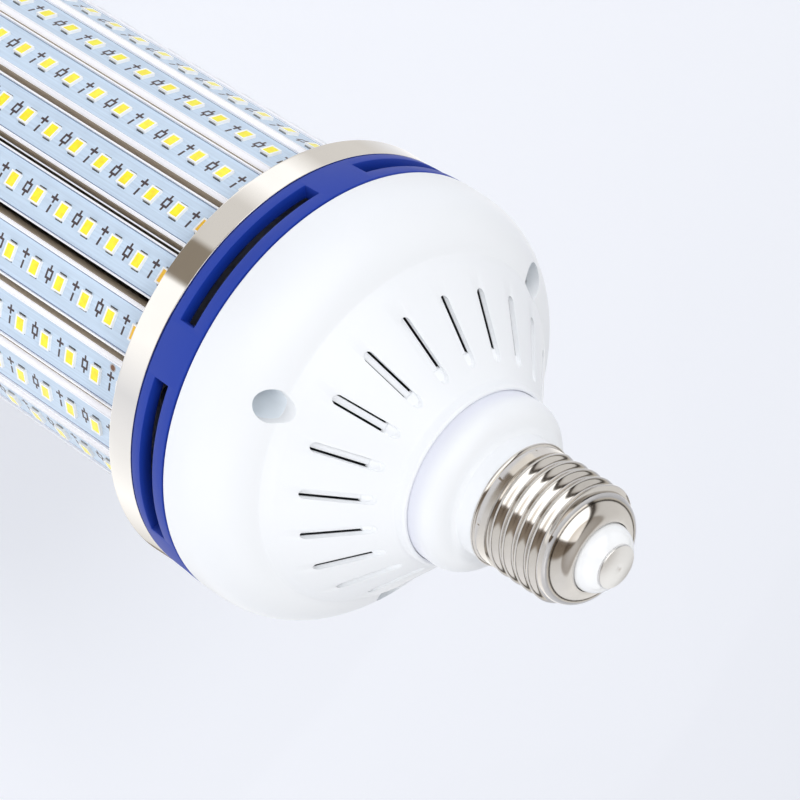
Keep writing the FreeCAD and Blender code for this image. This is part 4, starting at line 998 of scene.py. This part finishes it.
class LAMP_OT_screw_shell(LampPiece, bpy.types.Operator):
    """Model the threaded screw shell"""

    bl_idname = "lamp.screw_shell"
    bl_label = "Screw shell"

    def build(self, context):
        rim = [(13.1, 0.0), (13.38, 0.06), (13.44, 0.3), (13.3, 0.6), (12.95, 0.8), (12.9, 1.0), (12.9, 3.3)]
        rise = (THREAD_HIGH - THREAD_LOW) / THREAD_STEPS
        wall = [(THREAD_ROOT, THREAD_LOW + rise * step) for step in range(THREAD_STEPS + 1)]
        lip = (7.8, 22.4)
        dome = [*bend_between(wall[-1], lip, 1.15, 14), lip, (7.5, 22.3), (7.8, 21.9)]
        inside = [(11.7, 18.0), (11.7, 4.1), (12.4, 3.5), (12.4, 0.0)]
        piece = turn_profile("threaded_shell", rim + wall + dome + inside, CAP_RIM, 120)
        self.roll_thread(piece)
        self.punch(piece)
        smooth(piece, 40)
        material = rolled_metal("shell_nickel", colours().nickel, 0.09, 0.000003, 7000.0, 0.18)
        finish_piece(piece, material, "cap_metal", "screw_shell")

    def punch(self, piece):
        """Cut the small punch marks that hold the skirt on the collar."""
        count, first, tip, foot, depth, flatness = 8, math.radians(-145), 0.2, 0.95, 1.2, 0.55
        mark = add_shape(
            bpy.ops.mesh.primitive_cone_add, (13.3, 0, CAP_RIM + 1.45),
            (1, flatness, 1), (0, math.pi / 2, 0),
            vertices=6, radius1=tip * MM, radius2=foot * MM, depth=depth * MM,
        )
        turns = [first + FULL_TURN * number / count for number in range(count)]
        cut_away(piece, repeat_round(mark, "marks", turns))

    def roll_thread(self, piece):
        """Push the wall out along a helix, by a displacement weighted with the thread's form."""
        group = piece.vertex_groups.new(name="thread")
        pitch = sizes().thread_pitch / MM
        first, last, run_out = -0.6, sizes().thread_turns - 0.4, 0.12
        for vertex in piece.data.vertices:
            radius = math.hypot(vertex.co.x, vertex.co.y) / MM
            height = vertex.co.z / MM - CAP_RIM
            if radius < THREAD_ROOT - 0.05 or not THREAD_LOW + 0.01 < height < THREAD_HIGH - 0.01:
                continue
            turn = math.atan2(vertex.co.y, vertex.co.x) / FULL_TURN
            along = (height - THREAD_START) / pitch - turn
            wave = 0.5 + 0.5 * math.cos(FULL_TURN * along)
            wound = round(along) + turn
            fade = [min(1, max(0, rest / run_out)) for rest in (wound - first, last - wound)]
            group.add([vertex.index], wave * fade[0] * fade[1], "REPLACE")
        roll = piece.modifiers.new("thread", "DISPLACE")
        roll.direction = "NORMAL"
        roll.vertex_group = "thread"
        roll.mid_level = 0
        roll.strength = sizes().thread_depth
        apply_modifiers(piece)
        piece.vertex_groups.clear()


class LAMP_OT_cap_end(LampPiece, bpy.types.Operator):
    """Model the insulator and the centre contact"""

    bl_idname = "lamp.cap_end"
    bl_label = "Insulator and contact"

    def build(self, context):
        cone_low, cone_high = (7.32, 22.45), (5.1, 25.75)
        cone = [(1.1, 16.6), (10.7, 16.6), (10.7, 18.0), (7.6, 20.4), (7.32, 21.2), cone_low]
        cone += [*bend_between(cone_low, cone_high, 0.5, 8), cone_high, (4.9, 25.9), (1.1, 25.9)]
        piece = turn_profile("insulator_cone", cone, CAP_RIM)
        smooth(piece)
        white = plastic("insulator_glaze", (0.93, 0.94, 0.94), 0.16, 0.03, 1500.0, 0.00001, coat=0.4)
        finish_piece(piece, white, "insulator_white", "cap_insulator")
        edge, dimple = (4.6, 26.42), (0.75, 27.0)
        stem = [(0.01, 16.0), (1.0, 16.0), (1.0, 25.9), (4.55, 25.9), (4.7, 26.05), (4.7, 26.25)]
        dome = [edge, *bend_between(edge, dimple, 0.1, 6), dimple, (0.45, 26.9), (0.01, 26.84)]
        piece = turn_profile("tip_contact", stem + dome, CAP_RIM)
        smooth(piece)
        metal = rolled_metal("contact_nickel", (0.86, 0.85, 0.83), 0.22, 0.000001, 5000.0, 0.08)
        finish_piece(piece, metal, "contact_metal", "centre_contact")


class LAMP_OT_plates(LampPiece, bpy.types.Operator):
    """Finish the end plates, their screws and the inner pieces"""

    bl_idname = "lamp.inner_pieces"
    bl_label = "Plates and inner pieces"

    def build(self, context):
        plate = rolled_metal("plate_aluminium", (0.74, 0.75, 0.76), 0.42, 0.000003, 1500.0, 0.06)
        steel = bpy.data.materials["screw_steel"]
        black = plastic("fan_plastic", (0.022, 0.022, 0.025), 0.4, 0.2)
        green = plastic("driver_solder_mask", (0.012, 0.06, 0.028), 0.3, 0.2, 900.0)
        dark = plastic("core_varnish", (0.05, 0.045, 0.04), 0.5, 0.3, 800.0)
        sleeve = plastic("capacitor_sleeve", (0.02, 0.035, 0.10), 0.3, 0.1)
        red = plastic("lead_insulation", (0.50, 0.03, 0.02), 0.35, 0.1)
        for node, material in (
            ("head_plate", plate), ("base_plate", plate), ("plate_screws", steel), ("fan_screws", steel),
            ("fan_frame", black), ("fan_impeller", black), ("driver_board", green), ("transformer", dark),
            ("filter_capacitor", sleeve), ("supply_leads", red),
        ):
            dress(node, material)


class LAMP_OT_stage(LampPiece, bpy.types.Operator):
    """Set up floor, light and camera"""

    bl_idname = "lamp.stage"
    bl_label = "Stage"

    def build(self, context):
        self.floor()
        self.card()
        self.world()
        self.lamps()
        self.camera()
        context.scene.view_settings.view_transform = "Standard"

    def floor(self):
        """A pale floor that the camera sees a little paler."""
        deselect()
        bpy.ops.mesh.primitive_plane_add(size=8, location=(0, 0, -0.0002))
        floor = bpy.context.active_object
        floor.name = "floor"
        material, tree, shader = new_material("floor_paint", Roughness=0.9, Specular_IOR_Level=0.1)
        seen = add_node(tree, "ShaderNodeLightPath").outputs["Is Camera Ray"]
        lit = maths(tree, "MULTIPLY", seen, sizes().floor_lift)
        cloud = noise(tree, object_place(tree), 3.0, 2.0)
        paler = tuple(min(1, c * 1.02) for c in colours().floor)
        tone = blend_colour(tree, cloud, (*colours().floor, 1), (*paler, 1))
        feed(tree, shader, Base_Color=tone, Emission_Color=(0.9, 0.93, 1.0, 1), Emission_Strength=lit)
        floor.data.materials.append(material)

    def world(self):
        """An even pale sky; shiny metal sees its brighter and darker zones."""
        world = bpy.data.worlds.new("studio")
        world.use_nodes = True
        bpy.context.scene.world = world
        tree = world.node_tree
        x, y, z = separate(tree, add_node(tree, "ShaderNodeTexCoord").outputs["Generated"])
        by_height = coloured(tree, z, (
            (0.0, (0.8, 0.78, 0.74)), (0.07, (0.7, 0.66, 0.6)), (0.09, (0.03, 0.025, 0.02)),
            (0.17, (0.05, 0.04, 0.03)), (0.2, (1, 1, 1)), (0.78, (1, 1, 1)),
            (0.82, (0.5, 0.46, 0.42)), (1.0, (0.7, 0.68, 0.66)),
        ))
        by_turn = sector_colours(tree, x, y, (
            (-180, (0.72, 0.71, 0.70)), (-172, (0.5, 0.47, 0.44)), (-169, (0.05, 0.04, 0.035)),
            (-158, (0.09, 0.075, 0.06)), (-155, (1.8, 1.8, 1.8)), (-80, (1.8, 1.8, 1.8)),
            (-77, (0.17, 0.13, 0.1)), (-42, (0.3, 0.25, 0.2)), (-34, (0.8, 0.79, 0.78)),
            (20, (0.9, 0.9, 0.92)), (80, (0.95, 0.95, 0.95)), (120, (0.8, 0.79, 0.78)),
            (165, (0.75, 0.74, 0.73)),
        ))
        seen = blend_colour(tree, 1.0, by_height, by_turn, "MULTIPLY")
        glossy = add_node(tree, "ShaderNodeLightPath").outputs["Is Glossy Ray"]
        seen = blend_colour(tree, 1.0, seen, (1.6, 1.6, 1.6, 1), "MULTIPLY")
        sky = blend_colour(tree, glossy, (0.955, 0.965, 1.0, 1), seen)
        feed(tree, tree.nodes["Background"], Color=sky, Strength=sizes().sky_strength)

    def card(self):
        """A ring lying on the floor that only shiny surfaces see, with paler and darker sectors."""
        deselect()
        bpy.ops.mesh.primitive_circle_add(vertices=96, radius=0.5, fill_type="NGON", location=(0, 0, 0.0004))
        card = bpy.context.active_object
        card.name = "reflection_card"
        settle(card)
        for hidden in ("camera", "diffuse", "transmission", "volume_scatter", "shadow"):
            setattr(card, f"visible_{hidden}", False)
        material = bpy.data.materials.new("reflection_card")
        material.use_nodes = True
        tree = material.node_tree
        tree.nodes.clear()
        x, y, _ = separate(tree, object_place(tree))
        white, pale, beige = (1.3, 1.28, 1.25), (0.9, 0.9, 0.92), (0.78, 0.75, 0.71)
        brown, grey, cream = (0.3, 0.255, 0.2), (0.88, 0.88, 0.9), (1.1, 1.06, 1.0)
        inner = sector_colours(tree, x, y, (
            (-180, beige), (-165, white), (-150, white), (-136, beige), (-112, beige), (-110, brown),
            (-92, brown), (-90, white), (-62, white), (-35, grey), (20, white), (60, beige),
            (62, brown), (85, brown), (90, white), (130, pale), (150, beige),
        ))
        outer = sector_colours(tree, x, y, (
            (-180, cream), (-127, cream), (-124, (0.20, 0.16, 0.12)), (-104, (0.30, 0.25, 0.2)),
            (-78, (0.55, 0.52, 0.48)), (-45, grey), (60, white), (110, white), (140, pale),
        ))
        seen = blend_colour(tree, ease(tree, distance(tree, x, y), 0.329, 0.334), inner, outer)
        glow = add_node(tree, "ShaderNodeEmission", {0: seen, 1: 1.0}).outputs[0]
        add_node(tree, "ShaderNodeOutputMaterial", {0: glow})
        card.data.materials.append(material)

    def lamps(self):
        """Three square lamps, aimed at the line; places and widths are metres."""
        for name, spot, size, power in (
            ("key_light", (-0.31, -0.85, 1.17), 0.4, sizes().key_power),
            ("side_light", (1.15, -0.45, 0.45), 0.9, sizes().side_power),
            ("left_light", (-1.15, -0.3, 0.5), 0.9, sizes().left_power),
        ):
            light = bpy.data.lights.new(name, "AREA")
            light.size = size
            light.energy = power
            lamp = bpy.data.objects.new(name, light)
            bpy.context.scene.collection.objects.link(lamp)
            lamp.location = spot
            lamp.visible_glossy = False
            aim = Vector((0, 0, LINE * MM)) - lamp.location
            lamp.rotation_euler = aim.to_track_quat("-Z", "Y").to_euler()

    def camera(self):
        """The photograph's camera: where it stands, what it aims at, and its roll."""
        spot = Vector((-10.674, -721.299, 713.712)) * MM
        aim = Vector((-4.457, 0.038, 195.441)) * MM
        roll = math.radians(122.7475)
        data = bpy.data.cameras.new("photo_camera")
        data.lens = 201.197
        data.sensor_width = 36
        data.clip_start = 0.05
        data.clip_end = 50
        camera = bpy.data.objects.new("photo_camera", data)
        bpy.context.scene.collection.objects.link(camera)
        camera.location = spot
        camera.rotation_mode = "QUATERNION"
        level = (aim - spot).to_track_quat("-Z", "Y")
        camera.rotation_quaternion = level @ Quaternion((0, 0, 1), roll)
        bpy.context.scene.camera = camera


OPERATORS = (
    LAMP_OT_finishes,
    LAMP_OT_stage,
    LAMP_OT_housing,
    LAMP_OT_vent_ribs,
    LAMP_OT_well_tubes,
    LAMP_OT_vent_ring,
    LAMP_OT_trim_bands,
    LAMP_OT_strips,
    LAMP_OT_packages,
    LAMP_OT_collar,
    LAMP_OT_screw_shell,
    LAMP_OT_cap_end,
    LAMP_OT_plates,
)


class LAMP_PT_panel(bpy.types.Panel):
    """The lamp's operators in the sidebar"""

    bl_idname = "LAMP_PT_panel"
    bl_label = "Corn LED Bulb"
    bl_space_type = "VIEW_3D"
    bl_region_type = "UI"
    bl_category = "Lamp"

    def draw(self, context):
        """One button for each operator."""
        for operator in OPERATORS:
            self.layout.operator(operator.bl_idname)


CLASSES = (LampSizes, LampColours, *OPERATORS, LAMP_PT_panel)


def register():
    """Add the classes and the scene's properties."""
    for cls in CLASSES:
        bpy.utils.register_class(cls)
    bpy.types.Scene.lamp_sizes = bpy.props.PointerProperty(type=LampSizes)
    bpy.types.Scene.lamp_colours = bpy.props.PointerProperty(type=LampColours)


def unregister():
    """Take the properties and the classes away again."""
    del bpy.types.Scene.lamp_colours
    del bpy.types.Scene.lamp_sizes
    for cls in reversed(CLASSES):
        bpy.utils.unregister_class(cls)


def main():
    """Build the lamp operator by operator."""
    register()
    for operator in OPERATORS:
        group, name = operator.bl_idname.split(".")
        getattr(getattr(bpy.ops, group), name)()


if __name__ == "__main__":
    main()
